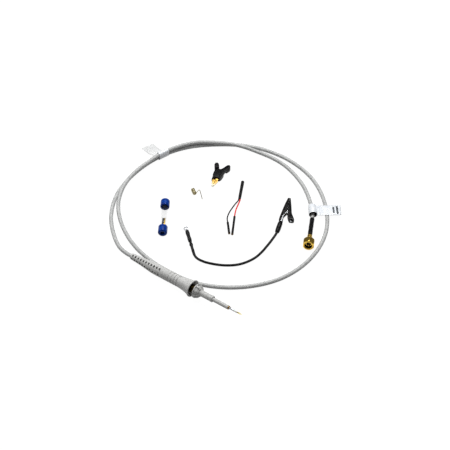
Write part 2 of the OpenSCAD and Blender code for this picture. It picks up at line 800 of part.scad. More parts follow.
socket_len = 6;
contact_len = 5.5;
black_sleeve_len = 12;
red_sleeve_len = 19.1;
lead_turn = -60.3;
black_turn = -47;
red_turn = -57.8;
black_sleeve_at = [-7.6, 14.4, end_sleeve_r];
red_sleeve_at = [-7.3, 22.5, end_sleeve_r];

function lead_point(x, y) = [
    -25.5 + x * cos(lead_turn) - y * sin(lead_turn),
    56.9 + x * sin(lead_turn) + y * cos(lead_turn), adapter_r];
function sleeve_point(at, turn, x) = at + x * [cos(turn), sin(turn), 0];

wire_side = thin_wire_d / 2 + 0.06;
black_route = concat(
    [lead_point(adapter_len, -wire_side), lead_point(adapter_len + 0.8, -wire_side)],
    [[-15.2, 33.6, 0.8], [-14.4, 28.4, 0.5], [-13, 22.8, 0.5], [-10.8, 18, 0.6]],
    [black_sleeve_at, sleeve_point(black_sleeve_at, black_turn, 6)]);
red_route = concat(
    [lead_point(adapter_len, wire_side), lead_point(adapter_len + 0.8, wire_side)],
    [[-13.2, 34.8, 0.7], [-11.6, 30.4, 0.5], [-9.7, 26.5, 0.6]],
    [red_sleeve_at, sleeve_point(red_sleeve_at, red_turn, 6), sleeve_point(red_sleeve_at, red_turn, 12)]);

module at_lead() {
    translate([-25.5, 56.9, adapter_r]) rotate([0, 0, lead_turn]) children();
}

module lead_adapter_sleeve() {
    waist_r = max(thin_wire_d + 0.1, adapter_r - 0.2);
    socket_r_out = lead_bore_r + 0.3;
    color(black_pvc) at_lead()
        turned([[socket_r_out + 0.02, 0], [adapter_r - 0.1, 0], [adapter_r, 0.2], [adapter_r, 11],
                [waist_r, adapter_len], [0, adapter_len], [0, socket_len + 0.4],
                [socket_r_out + 0.02, socket_len + 0.4]]);
}

module lead_socket() {
    color(gold) at_lead()
        turned([[lead_bore_r, 0.3], [lead_bore_r + 0.3, 0.3], [lead_bore_r + 0.3, socket_len + 0.3],
                [0, socket_len + 0.3], [0, socket_len], [lead_bore_r, socket_len]]);
}

module black_wire() {
    color(black_pvc) wire(black_route, thin_wire_d / 2, 8, [0, 0, 1]);
}

module red_wire() {
    color("red") wire(red_route, thin_wire_d / 2, 8, [0, 0, 1]);
}

module end_sleeve(at, turn, length) {
    translate(at) rotate([0, 0, turn])
        turned([[thin_wire_d / 2 + 0.1, 0], [end_sleeve_r - 0.05, 0], [end_sleeve_r, 0.2],
                [end_sleeve_r, length - 0.1], [end_sleeve_r - 0.05, length],
                [pin_socket_bore_r + 0.3, length], [pin_socket_bore_r + 0.3, length - contact_len - 0.1],
                [thin_wire_d / 2 + 0.1, length - contact_len - 0.1]]);
}

module wire_end_sleeves() {
    color(black_pvc) {
        end_sleeve(black_sleeve_at, black_turn, black_sleeve_len);
        end_sleeve(red_sleeve_at, red_turn, red_sleeve_len);
    }
}

module pin_socket(at, turn, length) {
    translate(at) rotate([0, 0, turn])
        pipe(length - contact_len, length - 0.15, pin_socket_bore_r + 0.28, pin_socket_bore_r);
}

module pin_sockets() {
    color(gold) {
        pin_socket(black_sleeve_at, black_turn, black_sleeve_len);
        pin_socket(red_sleeve_at, red_turn, red_sleeve_len);
    }
}

// ---- Ground clip --------------------------------------------------------------------------

// x runs from the pivot to the nose; the fixed half lies on +y and carries the wire
clip_turn = 119.5;
clip_x = 22.52;
clip_y = 49.46;
clip_mid = clip_t / 2;
wire_leg = [-10, 3.9];

module at_clip() {
    translate([clip_x, clip_y, 0]) rotate([0, 0, clip_turn]) children();
}

function clip_point(p, z) = [
    clip_x + p[0] * cos(clip_turn) - p[1] * sin(clip_turn),
    clip_y + p[0] * sin(clip_turn) + p[1] * cos(clip_turn), z];

// Outline of the fixed half: inset on its outer edge, mouth off the middle line, and arch along
// the bay behind the pivot
function fixed_plan(inset, mouth, arch) = [
    [nose_len - inset, mouth], [nose_len - inset, 0.9 - inset / 2], [nose_len - 2.5, 1.8 - 0.9 * inset],
    [7.4, 2.9 - inset], [-0.5, 4.35 - inset], [-6.8, 5.4 - inset], [-10.8 + inset, 5.8 - inset],
    [-10.8 + inset, 3.1 + 1.6 * arch], [-7.2, 2.9 + arch], [-5.3, 2.5 + arch], [-3.6, 1.7 + arch],
    [-2.6, 1 + arch], [-1.2, 0.45 + arch / 2], [0.3, mouth]];

// Outline of the moving half, in the same way
function moving_plan(inset, mouth, arch) = [
    [nose_len - inset, -mouth], [nose_len - inset, -0.8 + inset / 2], [nose_len - 2.5, -1.35 + 0.9 * inset],
    [6.4, -2.3 + inset], [0.4, -3.1 + inset], [-2.3, -3.5 + inset], [-5.4, -4.8 + inset],
    [-8.8, -6.05 + inset], [-9.8 + inset, -5.8 + inset], [-9.8 + inset, -2.5 - arch],
    [-5.9, -0.8 - arch], [-3.2, -0.2 - arch], [0, -mouth]];

boot_gap = clip_boot_t + 0.05;

// Steel channel: two side walls and a back wall on the outer edge
module steel_half(outer, hollow) {
    tall = clip_t - 2 * boot_gap;
    difference() {
        translate([0, 0, boot_gap]) linear_extrude(tall) polygon(outer);
        translate([0, 0, boot_gap + clip_steel_t]) linear_extrude(tall - 2 * clip_steel_t) polygon(hollow);
    }
}

// Two ears that reach the pivot pin from the half's outline; gap is the space between them
module ears(outline, gap) {
    for (z = [clip_mid - gap / 2 - clip_steel_t, clip_mid + gap / 2])
        translate([0, 0, z]) linear_extrude(clip_steel_t) difference() {
            union() {
                circle(r = ear_r);
                intersection() {
                    square(2 * [ear_r, 4], center = true);
                    polygon(outline);
                }
            }
            circle(r = clip_pin_r + fit);
        }
}

ear_r = 2;
outer_gap = clip_t - 2 * boot_gap - 2 * clip_steel_t;
inner_gap = outer_gap - 2 * clip_steel_t - 0.1;
fixed_steel = fixed_plan(boot_gap, 0.15, 0);
moving_steel = moving_plan(boot_gap, 0.15, boot_gap);

module clip_fixed_jaw() {
    crimp_r_out = ground_wire_d / 2 + 0.55;
    color("silver") at_clip() difference() {
        union() {
            steel_half(fixed_steel, fixed_plan(boot_gap + clip_steel_t, -0.4, -0.4));
            ears(fixed_steel, outer_gap);
            translate([wire_leg[0] - 1.2, wire_leg[1], clip_mid]) rod(0, 3.2, crimp_r_out);
        }
        cylinder(h = clip_t, r = clip_pin_r + fit);
        translate([wire_leg[0] - 2, wire_leg[1], clip_mid]) rod(0, 3.2, ground_wire_d / 2 + 0.25);
    }
}

module clip_moving_jaw() {
    color("silver") at_clip() difference() {
        union() {
            steel_half(moving_steel, moving_plan(boot_gap + clip_steel_t, -0.4, -0.4));
            ears(moving_steel, inner_gap);
        }
        for (z = [clip_mid - outer_gap / 2 - clip_steel_t - 0.06, clip_mid + outer_gap / 2 - 0.06])
            translate([0, 0, z]) cylinder(h = clip_steel_t + 0.12, r = ear_r + 0.1);
    }
}

module boot_half(outline, cavity) {
    difference() {
        linear_extrude(clip_t) polygon(outline);
        translate([0, 0, clip_boot_t]) linear_extrude(clip_t - 2 * clip_boot_t) polygon(cavity);
        translate([0, 0, clip_boot_t]) cylinder(h = clip_t - 2 * clip_boot_t, r = ear_r + 0.4);
    }
}

module clip_fixed_boot() {
    color(black_pvc) at_clip() difference() {
        boot_half(fixed_plan(0, 0.05, 0.5), fixed_plan(clip_boot_t, -0.4, -0.1));
        translate([wire_leg[0] - 3, wire_leg[1], clip_mid]) rod(0, 5.8, ground_wire_d / 2 + 0.6);
    }
}

module clip_moving_boot() {
    color(black_pvc) at_clip() boot_half(moving_plan(0, 0.05, 0), moving_plan(clip_boot_t, -0.4, clip_boot_t));
}

module clip_pivot_pin() {
    color("silver") at_clip() translate([0, 0, boot_gap])
        cylinder(h = clip_t - 2 * boot_gap, r = clip_pin_r);
}

clip_spring_wire = 0.36;
clip_spring_r = clip_pin_r + 0.35;
clip_coil_pitch = 0.6;
clip_coil_turns = 2;
clip_coil_z = clip_mid - clip_coil_pitch * clip_coil_turns / 2;
clip_spring_path = concat(
    [[-2.4, clip_spring_r, clip_coil_z], [-0.9, clip_spring_r, clip_coil_z]],
    [for (i = [0 : 8 * clip_coil_turns]) let (a = 90 - 45 * i)
        [clip_spring_r * cos(a), clip_spring_r * sin(a), clip_coil_z + clip_coil_pitch * i / 8]],
    [[2, clip_spring_r, clip_mid + clip_coil_pitch * clip_coil_turns / 2]]);
echo(clip_spring_gap = least_gap(clip_spring_path, 5, clip_spring_wire));

module clip_spring() {
    color("silver") at_clip() wire(clip_spring_path, clip_spring_wire / 2, 6, [0, 0, 1]);
}

// ---- Ground lead --------------------------------------------------------------------------

lug_x = -28.4;
lug_y = -9.7;
lug_turn = -38.4;
lug_sleeve_from = 3.9;
lug_sleeve_to = 14.8;
wire_sleeve_from = 16.2;
wire_sleeve_to = 28;
lug_tilt = atan((lug_sleeve_r - wire_sleeve_r) / (wire_sleeve_to - lug_sleeve_to));
lug_z = lug_sleeve_r * cos(lug_tilt) + lug_sleeve_to * sin(lug_tilt);
clip_sleeve_len = 11.7;
clip_sleeve_r = 1.95;
clip_sleeve_tilt = asin((clip_mid - clip_sleeve_r) / clip_sleeve_len);

module at_lug() {
    translate([lug_x, lug_y, lug_z]) rotate([0, 0, lug_turn]) rotate([0, lug_tilt, 0]) children();
}

function lug_point(s) = [
    lug_x + s * cos(lug_turn), lug_y + s * sin(lug_turn), lug_z - s * sin(lug_tilt)];

// Axis of the sleeve on the clip: from the clip's leg out to the free wire
clip_sleeve_turn = 171.7;
function clip_sleeve_point(s) = clip_point(
    wire_leg + s * cos(clip_sleeve_tilt) * [cos(clip_sleeve_turn), sin(clip_sleeve_turn)],
    clip_mid - s * sin(clip_sleeve_tilt));

ground_route = concat(
    [lug_point(6.6), lug_point(wire_sleeve_from), lug_point(wire_sleeve_to)],
    [[-2.6, -28.6, 1], [3.4, -28.2, 0.95], [9.6, -26.1, 0.95], [15.4, -23.2, 0.95],
     [20.6, -19.5, 0.95], [25, -15, 0.95], [28.4, -9, 0.95], [30.5, -2, 0.95],
     [30.9, 5, 0.95], [30.4, 12, 1], [29.7, 19.5, 1.4]],
    [clip_sleeve_point(clip_sleeve_len), clip_sleeve_point(0.4)]);

module ring_terminal() {
    ring_t = 1.6;
    tail_t = 0.7;
    tail_r = ground_wire_d / 2 - 0.05;
    color("silver") {
        translate([lug_x, lug_y, 0]) rotate([0, 0, lug_turn]) difference() {
            union() {
                cylinder(h = ring_t, r = ring_r);
                translate([ring_bore_r, -0.8, ring_t - tail_t]) cube([lug_sleeve_from - ring_bore_r - 0.05, 1.6, tail_t]);
            }
            translate([0, 0, -over]) cylinder(h = 3 * ring_t, r = ring_bore_r);
        }
        at_lug() rod(lug_sleeve_from - 0.4, 6.5, tail_r);
    }
}

module ground_lead_sleeves() {
    bore_r = ground_wire_d / 2 + 0.05;
    color(black_pvc) {
        at_lug() {
            turned([[bore_r, lug_sleeve_from], [lug_sleeve_r - 0.15, lug_sleeve_from],
                    [lug_sleeve_r, lug_sleeve_from + 0.4], [lug_sleeve_r, lug_sleeve_to - 0.3],
                    [lug_sleeve_r - 0.15, lug_sleeve_to], [bore_r, lug_sleeve_to]]);
            pipe(wire_sleeve_from, wire_sleeve_to, wire_sleeve_r, bore_r);
        }
        translate(clip_point(wire_leg, clip_mid))
            rotate([0, 0, clip_turn + clip_sleeve_turn]) rotate([0, clip_sleeve_tilt, 0])
                turned([[bore_r, 1.4], [clip_sleeve_r - 0.5, 1.4], [clip_sleeve_r - 0.1, 2.6],
                        [clip_sleeve_r, 4], [clip_sleeve_r, clip_sleeve_len - 0.6],
                        [clip_sleeve_r - 0.4, clip_sleeve_len], [bore_r, clip_sleeve_len]]);
    }
}

module ground_wire() {
    color(black_pvc) wire(ground_route, ground_wire_d / 2, 8, [0, 0, 1]);
}

// ---- Parts --------------------------------------------------------------------------------

cable_boot();
handle_shell();
probe_cable();
cable_braid();
crimp_sleeve();
cable_dielectric();
cable_core();
circuit_board();
tip_resistor();
chip_components();
trimmer_capacitor();
front_housing();
nose_cone();
front_sleeve();
ground_barrel();
contact_tube();
tip_insulator();
barrel_dielectric();
center_conductor();
tip_socket();
tip_spring();
tip_plunger();
coupling_nut();
connector_body();
connector_insulator();
center_pin();
snap_ring();
connector_ferrule();
connector_shrink();
probe_end_label();
connector_end_label();
vial_tube();
upper_vial_cap();
lower_vial_cap();
upper_cap_seal();
lower_cap_seal();
black_spare_tip();
gold_spare_tip();
ground_spring();
mini_clip_left();
mini_clip_right();
mini_jaw_left();
mini_jaw_right();
mini_clip_pin();
mini_clip_spring();
lead_adapter_sleeve();
lead_socket();
black_wire();
red_wire();
wire_end_sleeves();
pin_sockets();
ring_terminal();
ground_lead_sleeves();
ground_wire();
clip_fixed_jaw();
clip_fixed_boot();
clip_moving_jaw();
clip_moving_boot();
clip_pivot_pin();
clip_spring();
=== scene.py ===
"""Looks of a passive oscilloscope probe, its cable, its coaxial connector and its loose accessories.

Sizes are in millimetres until a mesh is made, and in metres from there on."""

import json
import math

import bmesh
import bpy
import numpy as np
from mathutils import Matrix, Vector


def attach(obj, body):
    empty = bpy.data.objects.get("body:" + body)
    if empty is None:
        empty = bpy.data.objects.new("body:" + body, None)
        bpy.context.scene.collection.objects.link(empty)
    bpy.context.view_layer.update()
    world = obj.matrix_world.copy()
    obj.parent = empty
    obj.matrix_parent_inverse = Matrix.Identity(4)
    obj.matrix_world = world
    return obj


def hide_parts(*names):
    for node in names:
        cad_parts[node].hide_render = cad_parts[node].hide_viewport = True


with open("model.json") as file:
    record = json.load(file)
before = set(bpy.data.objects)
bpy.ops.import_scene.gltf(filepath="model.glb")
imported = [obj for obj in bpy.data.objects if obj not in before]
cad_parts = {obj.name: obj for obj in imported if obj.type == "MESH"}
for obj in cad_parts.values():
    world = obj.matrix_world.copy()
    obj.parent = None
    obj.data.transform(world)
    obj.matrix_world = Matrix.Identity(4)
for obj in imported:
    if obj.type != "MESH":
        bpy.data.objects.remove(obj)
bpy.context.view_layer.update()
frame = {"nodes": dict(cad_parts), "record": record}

MM = 0.001
TURN = 2 * np.pi
ROUND_STEPS = 48
BODY_OF = {
    node: body
    for body, nodes in frame["record"]["behaviour"]["bodies"].items()
    for node in nodes
}


# ---- Shapes -------------------------------------------------------------------------------


def unit(v):
    """The vectors at length 1."""
    v = np.asarray(v, float)
    return v / np.linalg.norm(v, axis=-1, keepdims=True)


def heading(turn, fall=0.0):
    """The direction that turn degrees from +X give, leaning down by fall degrees."""
    turn, fall = np.radians(turn), np.radians(fall)
    return np.array([np.cos(fall) * np.cos(turn), np.cos(fall) * np.sin(turn), -np.sin(fall)])


class Line:
    """A straight axis with its own three directions: forward, side (to the left) and up."""

    def __init__(self, start, forward):
        self.start = np.array(start, float)
        forward = unit(forward)
        side = unit(np.cross([0, 0, 1], forward))
        self.directions = np.array([forward, side, np.cross(forward, side)])

    def place(self, points):
        """Points given as (forward, side, up), as points of the frame."""
        return self.start + np.asarray(points, float) @ self.directions

    def at(self, station):
        """The point that lies station along the axis."""
        return self.start + station * self.directions[0]


class Sheet:
    """A grid of points, each joined to its neighbours by quads.

    Its rows and columns may close into loops, its first and last row may be capped, and marks hold
    one number per point."""

    def __init__(self, points, loop_rows=False, loop_columns=True, capped=False, marks=None):
        self.points = points
        self.loops = (loop_rows, loop_columns)
        self.capped = capped
        self.marks = marks or {}

    def faces(self, start):
        rows, columns = self.points.shape[:2]
        row = np.arange(rows if self.loops[0] else rows - 1)[:, None]
        column = np.arange(columns if self.loops[1] else columns - 1)[None, :]
        next_row, next_column = (row + 1) % rows, (column + 1) % columns
        quads = np.stack(
            np.broadcast_arrays(
                row * columns + column,
                row * columns + next_column,
                next_row * columns + next_column,
                next_row * columns + column,
            ),
            axis=-1,
        )
        made = (start + quads.reshape(-1, 4)).tolist()
        if self.capped:
            last = start + (rows - 1) * columns
            made += [list(range(start, start + columns)), list(range(last, last + columns))]
        return made


def rounded(points, radius, closed=True, steps=4):
    """The line through the points with each corner bent: a quadratic curve joins the two places that
    lie radius, or almost half of the shorter side, before and after the corner."""
    corner = np.array(points, float)
    before = np.roll(corner, 1, axis=0)
    after = np.roll(corner, -1, axis=0)
    to_before = np.linalg.norm(before - corner, axis=1)
    to_after = np.linalg.norm(after - corner, axis=1)
    cut = np.minimum(radius, 0.45 * np.minimum(to_before, to_after))
    if not closed:
        cut[[0, -1]] = 0
    start = corner + (before - corner) * (cut / to_before)[:, None]
    end = corner + (after - corner) * (cut / to_after)[:, None]
    t = np.linspace(0, 1, steps + 1)[None, :, None]
    bent = (1 - t) ** 2 * start[:, None] + 2 * t * (1 - t) * corner[:, None] + t**2 * end[:, None]
    bent = bent.reshape(-1, corner.shape[1])
    moved = np.linalg.norm(np.diff(bent, axis=0), axis=1) > 1e-6
    return bent[np.concatenate([[True], moved])]


def smooth(points, steps):
    """The curve through the points in steps per stretch: a cubic whose end slopes weigh each stretch by
    the root of its length, so that it doesn't overshoot where the points are unevenly spread."""
    p = np.array(points, float)
    p = np.vstack([2 * p[0] - p[1], p, 2 * p[-1] - p[-2]])
    a, b, c, d = p[:-3], p[1:-2], p[2:-1], p[3:]
    ab, bc, cd = (np.sqrt(np.linalg.norm(q, axis=1))[:, None] for q in (b - a, c - b, d - c))
    leave = c - b + bc * ((b - a) / ab - (c - a) / (ab + bc))
    arrive = c - b + bc * ((d - c) / cd - (d - b) / (bc + cd))
    t = np.arange(steps)[None, :, None] / steps
    cubic = (2 * (b - c) + leave + arrive)[:, None]
    square = (3 * (b - c) + 2 * leave + arrive)[:, None]
    curve = cubic * t**3 - square * t**2 + leave[:, None] * t + b[:, None]
    return np.vstack([curve.reshape(-1, p.shape[1]), p[-2]])


def around(station, reach, angle):
    """Points of a grid round an axis: (station, reach * cos(angle), reach * sin(angle))."""
    return np.stack([station + 0 * angle, reach * np.cos(angle), reach * np.sin(angle)], axis=-1)


def turned(line, profile, radius=0.08, closed=True, wobble=None, steps=ROUND_STEPS):
    """A surface of revolution: each profile point (station, radius) goes round the line. wobble adds to
    the radius, as a function of station and angle."""
    outline = rounded(profile, radius, closed)
    angle = np.arange(steps) * TURN / steps
    station = outline[:, :1] + 0 * angle
    reach = outline[:, 1:] + 0 * angle
    if wobble is not None:
        reach = reach + wobble(station, angle[None, :])
    points = around(station, reach, angle)
    return Sheet(line.place(points), closed, True, not closed, {"along": station * MM})


def tube(path, radius, steps=16, reference=(0, 0, 1)):
    """A round tube: a circle carried along the path, square to it, its side direction taken from the
    reference direction, which the path never follows."""
    ahead = unit(np.gradient(path, axis=0))
    side = unit(np.cross(reference, ahead))
    up = np.cross(ahead, side)
    angle = (np.arange(steps) * TURN / steps)[None, :, None]
    reach = np.reshape(radius, (-1, 1, 1))
    ring = path[:, None] + reach * (np.cos(angle) * side[:, None] + np.sin(angle) * up[:, None])
    travelled = np.concatenate([[0], np.cumsum(np.linalg.norm(np.diff(path, axis=0), axis=1))])
    along = travelled[:, None] + np.zeros(steps)
    return Sheet(ring, False, True, True, {"along": along * MM})


def inset(outline, distance):
    """The closed outline, run anticlockwise, with each side moved inward by the distance."""
    side = unit(np.roll(outline, -1, axis=0) - outline)
    inward = np.stack([-side[:, 1], side[:, 0]], axis=1)
    earlier = np.roll(inward, 1, axis=0)
    shared = 1 + np.sum(inward * earlier, axis=1, keepdims=True)
    return outline + distance * (inward + earlier) / shared


def plate(line, outline, low, high, edge=0.3, corner=0.8):
    """A flat solid with rounded edges: near each face the outline is inset by edge * (1 - sin a) while the
    height follows edge * (1 - cos a), a quarter circle of the radius edge."""
    flat = np.array(outline, float)
    crossed = flat[:, 0] * np.roll(flat[:, 1], -1) - flat[:, 1] * np.roll(flat[:, 0], -1)
    flat = flat if crossed.sum() > 0 else flat[::-1]
    flat = rounded(flat, corner)
    a = np.linspace(0, np.pi / 2, 5)
    insets = np.concatenate([edge * (1 - np.sin(a)), edge * (1 - np.sin(a[::-1]))])
    heights = np.concatenate([low + edge * (1 - np.cos(a)), high - edge * (1 - np.cos(a[::-1]))])
    rings = np.stack([inset(flat, distance) for distance in insets])
    tall = np.broadcast_to(heights[:, None, None], rings.shape[:2] + (1,))
    return Sheet(line.place(np.concatenate([rings, tall], axis=2)), False, True, True)


def sectors(count, half, edge, middle=5, outside=4):
    """Column angles for count equal sectors, each with a middle band that reaches half to both sides.

    half is the band's half angle on each row. The columns beside the band's border lie edge to its
    left and right, so that the step at the border is steep. Also says which columns are in a band."""
    half = half[:, None]
    room = np.pi / count - half - edge
    left = -np.pi / count + room * np.linspace(0, 1, outside)
    band = (half - edge) * np.linspace(-1, 1, middle)
    right = half + edge + room * np.linspace(0, 1, outside)[:-1]
    local = np.concatenate([left, band, right], axis=1)
    inside = np.repeat([False, True, False], [outside, middle, outside - 1])
    turn = np.arange(count) * TURN / count
    angles = (local[:, None, :] + turn[None, :, None]).reshape(len(half), -1)
    return angles, np.tile(inside, count)


def band(line, section, outward, length, thickness):
    """A closed strip round a section: the section is carried along the line for the length, and the strip's
    wall runs out along the front, over its edge and back inside."""
    stations = np.array([-length / 2, -length / 2, length / 2, length / 2])
    wall = rounded(np.stack([stations, [0, thickness, thickness, 0]], axis=1), thickness / 3)
    ring = section[:, None] + wall[None, :, 1:] * outward[:, None]
    station = np.broadcast_to(wall[None, :, :1], ring.shape[:2] + (1,))
    return Sheet(line.place(np.concatenate([station, ring], axis=2)), True, True)


# ---- Pieces -------------------------------------------------------------------------------


def piece(name, sheets, nodes, material, wall=None, stands_for=True, crease=38):
    """One mesh of all the sheets, with doubles merged and faces outward, that rides with its nodes."""
    mesh = bpy.data.meshes.new(name)
    points = np.concatenate([sheet.points.reshape(-1, 3) for sheet in sheets]) * MM
    starts = np.cumsum([0] + [sheet.points[..., 0].size for sheet in sheets])
    faces = [face for sheet, start in zip(sheets, starts) for face in sheet.faces(int(start))]
    mesh.from_pydata(points.tolist(), [], faces)
    for mark in sorted({mark for sheet in sheets for mark in sheet.marks}):
        values = [
            np.broadcast_to(sheet.marks.get(mark, 0.0), sheet.points.shape[:2]).ravel()
            for sheet in sheets
        ]
        layer = mesh.attributes.new(mark, "FLOAT", "POINT")
        layer.data.foreach_set("value", np.concatenate(values).astype(np.float32))
    shape = bmesh.new()
    shape.from_mesh(mesh)
    bmesh.ops.remove_doubles(shape, verts=shape.verts, dist=1e-7)
    bmesh.ops.recalc_face_normals(shape, faces=shape.faces)
    shape.to_mesh(mesh)
    shape.free()
    mesh.shade_smooth()
    mesh.set_sharp_from_angle(angle=math.radians(crease))
    mesh.materials.append(material)
    made = bpy.data.objects.new(name, mesh)
    bpy.context.scene.collection.objects.link(made)
    if wall is not None:
        solid = made.modifiers.new("wall", "SOLIDIFY")
        solid.thickness = wall * MM
        solid.offset = -1
    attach(made, BODY_OF[nodes[0]])
    if stands_for:
        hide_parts(*nodes)
    return made


def lathed(name, line, profile, node, material, radius=0.08, **how):
    """A piece that is one surface of revolution."""
    return piece(name, [turned(line, profile, radius, **how)], [node], material)


def dress(nodes, material):
    """Gives solids whose shape is right their finish."""
    for name in nodes:
        solid = frame["nodes"][name]
        solid.data.materials.clear()
        solid.data.materials.append(material)


# ---- Finishes -----------------------------------------------------------------------------


def linear(colour):
    """The linear RGBA of an sRGB hex value."""
    srgb = np.array([int(colour[i : i + 2], 16) for i in (1, 3, 5)]) / 255
    rgb = np.where(srgb <= 0.04045, srgb / 12.92, ((srgb + 0.055) / 1.055) ** 2.4)
    return (*rgb.tolist(), 1.0)


def add(tree, kind, settings=None, links=None):
    """Adds a node. Settings are properties, socket values or colour stops, and links feed its sockets."""
    node = tree.nodes.new(kind)
    for name, value in (settings or {}).items():
        if name == "stops":
            while len(node.color_ramp.elements) < len(value):
                node.color_ramp.elements.new(1.0)
            for element, (position, colour) in zip(node.color_ramp.elements, value):
                element.position = position
                element.color = linear(colour)
        elif isinstance(name, int) or name in node.inputs:
            node.inputs[name].default_value = value
        else:
            setattr(node, name, value)
    for name, socket in (links or {}).items():
        tree.links.new(socket, node.inputs[name])
    return node


def finish(name, colours, grain_mm, roughness, relief_mm=0.0, spread=0.06, detail=3.0, **surface):
    """A finish with a mottled colour, uneven gloss and a fine relief, all from one three-dimensional noise.

    colours run from the noise's lows to its highs, and spread is how far the roughness strays."""
    made = bpy.data.materials.new(name)
    made.use_nodes = True
    tree = made.node_tree
    tree.nodes.clear()
    place = add(tree, "ShaderNodeTexCoord")
    grain = add(
        tree,
        "ShaderNodeTexNoise",
        {"Scale": 1 / (grain_mm * MM), "Detail": detail, "Roughness": 0.55},
        {"Vector": place.outputs["Object"]},
    )
    stops = [(0.3 + 0.4 * i / (len(colours) - 1), colour) for i, colour in enumerate(colours)]
    colour = add(tree, "ShaderNodeValToRGB", {"stops": stops}, {"Fac": grain.outputs["Fac"]})
    gloss = add(
        tree,
        "ShaderNodeMapRange",
        {"From Min": 0.3, "From Max": 0.7, "To Min": roughness - spread, "To Max": roughness + spread},
        {"Value": grain.outputs["Fac"]},
    )
    relief = add(
        tree,
        "ShaderNodeBump",
        {"Strength": 1.0, "Distance": relief_mm * MM},
        {"Height": grain.outputs["Fac"]},
    )
    shader = add(
        tree,
        "ShaderNodeBsdfPrincipled",
        surface,
        {
            "Base Color": colour.outputs["Color"],
            "Roughness": gloss.outputs["Result"],
            "Normal": relief.outputs["Normal"],
        },
    )
    add(tree, "ShaderNodeOutputMaterial", {}, {"Surface": shader.outputs["BSDF"]})
    made["colour"] = colour.name
    made["relief"] = relief.name
    made["shader"] = shader.name
    return made


def stain(material, mark, colours, strength=1.0):
    """Where the mark on the surface rises to 1, the finish takes the last of the colours."""
    tree = material.node_tree
    shader = tree.nodes[material["shader"]]
    base = tree.nodes[material["colour"]]
    amount = add(tree, "ShaderNodeAttribute", {"attribute_name": mark})
    tint = add(tree, "ShaderNodeValToRGB", {"stops": colours}, {"Fac": amount.outputs["Fac"]})
    share = add(
        tree,
        "ShaderNodeMath",
        {"operation": "MULTIPLY", 1: strength},
        {0: amount.outputs["Fac"]},
    )
    blend = add(
        tree,
        "ShaderNodeMix",
        {"data_type": "RGBA"},
        {0: share.outputs[0], 6: base.outputs["Color"], 7: tint.outputs["Color"]},
    )
    tree.links.new(blend.outputs[2], shader.inputs["Base Color"])
    return material


def lathe_rings(material, pitch_mm, depth_mm):
    """Adds the fine rings that a lathe leaves: a sine of the station along the piece's axis."""
    tree = material.node_tree
    relief = tree.nodes[material["relief"]]
    station = add(tree, "ShaderNodeAttribute", {"attribute_name": "along"})
    phase = add(
        tree,
        "ShaderNodeMath",
        {"operation": "MULTIPLY", 1: TURN / (pitch_mm * MM)},
        {0: station.outputs["Fac"]},
    )
    rings = add(tree, "ShaderNodeMath", {"operation": "SINE"}, {0: phase.outputs[0]})
    add_rings = add(
        tree,
        "ShaderNodeBump",
        {"Strength": 1.0, "Distance": depth_mm * MM},
        {"Height": rings.outputs[0], "Normal": relief.outputs["Normal"]},
    )
    tree.links.new(add_rings.outputs["Normal"], tree.nodes[material["shader"]].inputs["Normal"])
    return material


# Grain finer than about half a millimetre doesn't show at a step's distance, so the grains below
# are drawn at 0.5 to 2.5 mm.

# Soft PVC, extruded over the braid: even grey with a waxy, slightly patchy gloss
JACKET = finish("extruded_pvc_jacket", ["#A9AAAA", "#B7B8B7", "#C1C2C1"], 2.2, 0.42, 0.03,
                **{"IOR": 1.52, "Specular IOR Level": 0.45})
# ABS, moulded against a spark-eroded tool: satin, faintly grainy, a touch warm
GRIP = finish("moulded_abs_grip", ["#BABAB8", "#C6C6C4", "#D0D0CE"], 0.8, 0.48, 0.03, IOR=1.53)
# Thermoplastic elastomer, moulded onto the cable: like the grip but softer to the light, with painted shade
# that turns its slots black
BOOT = stain(finish("moulded_elastomer_boot", ["#B8B8B6", "#C4C4C2", "#CDCDCB"], 0.9, 0.55, 0.04, IOR=1.5),
             "recess", [(0.0, "#7E7E7B"), (1.0, "#0C0C0B")])
# Glass-filled ABS of the nose: the same grey, a little shinier on its ribs
NOSE = finish("moulded_abs_nose", ["#B4B4B2", "#C1C1BF", "#CBCBC9"], 0.7, 0.4, 0.02, IOR=1.53)
# Gold flashed over nickelled brass, turned: deep yellow with lathe rings
GOLD = lathe_rings(finish("gold_plated_brass", ["#D8A93C", "#EDC353", "#F6D675"], 0.7, 0.2, 0.01,
                          Metallic=1.0), 0.45, 0.004)
# The nut's plating, with painted shade that darkens it deep in its thread
NUT_GOLD = stain(lathe_rings(finish("gold_plated_nut", ["#D8A93C", "#EDC353", "#F6D675"], 0.7, 0.2, 0.01,
                                    Metallic=1.0), 0.45, 0.004),
                 "recess", [(0.0, "#5A4416"), (1.0, "#171105")])
# Thin gold flash on the tip's socket and needle: pale, almost straw
PALE_GOLD = finish("gold_flashed_tip", ["#D8C47E", "#E8D896", "#F2E7B4"], 0.6, 0.3, 0.01, Metallic=1.0)
# Brass painted dark: painted shade where it lies in the shadow of the finger guard
SHADED_BRASS = finish("brass_in_painted_shade", ["#1C170C", "#332A15", "#594A26"], 1.2, 0.4, 0.01,
                    spread=0.1, Metallic=1.0)
# Gold plating darkened by handling, as on the barrel's open end
WORN_GOLD = lathe_rings(finish("handled_gold_plate", ["#5C4420", "#80602F", "#9C7A44"], 0.6, 0.3, 0.01,
                               Metallic=1.0), 0.4, 0.004)
# Gold over spring bronze, stamped: bright, tinned towards the ends of the jaws
JAW_GOLD = stain(finish("stamped_gilt_bronze", ["#D9A441", "#EDC062", "#F4CF7C"], 1.2, 0.36, 0.015,
                        Metallic=1.0), "tinned", [(0.0, "#E0B860"), (1.0, "#D6D2C4")])
# Bright nickel on brass, polished: white mirror with thin drawing rings
NICKEL = lathe_rings(finish("polished_nickel_plate", ["#C2C4C8", "#D6D8DB", "#E2E4E6"], 0.8, 0.1, 0.004,
                            spread=0.03, Metallic=1.0), 0.5, 0.003)
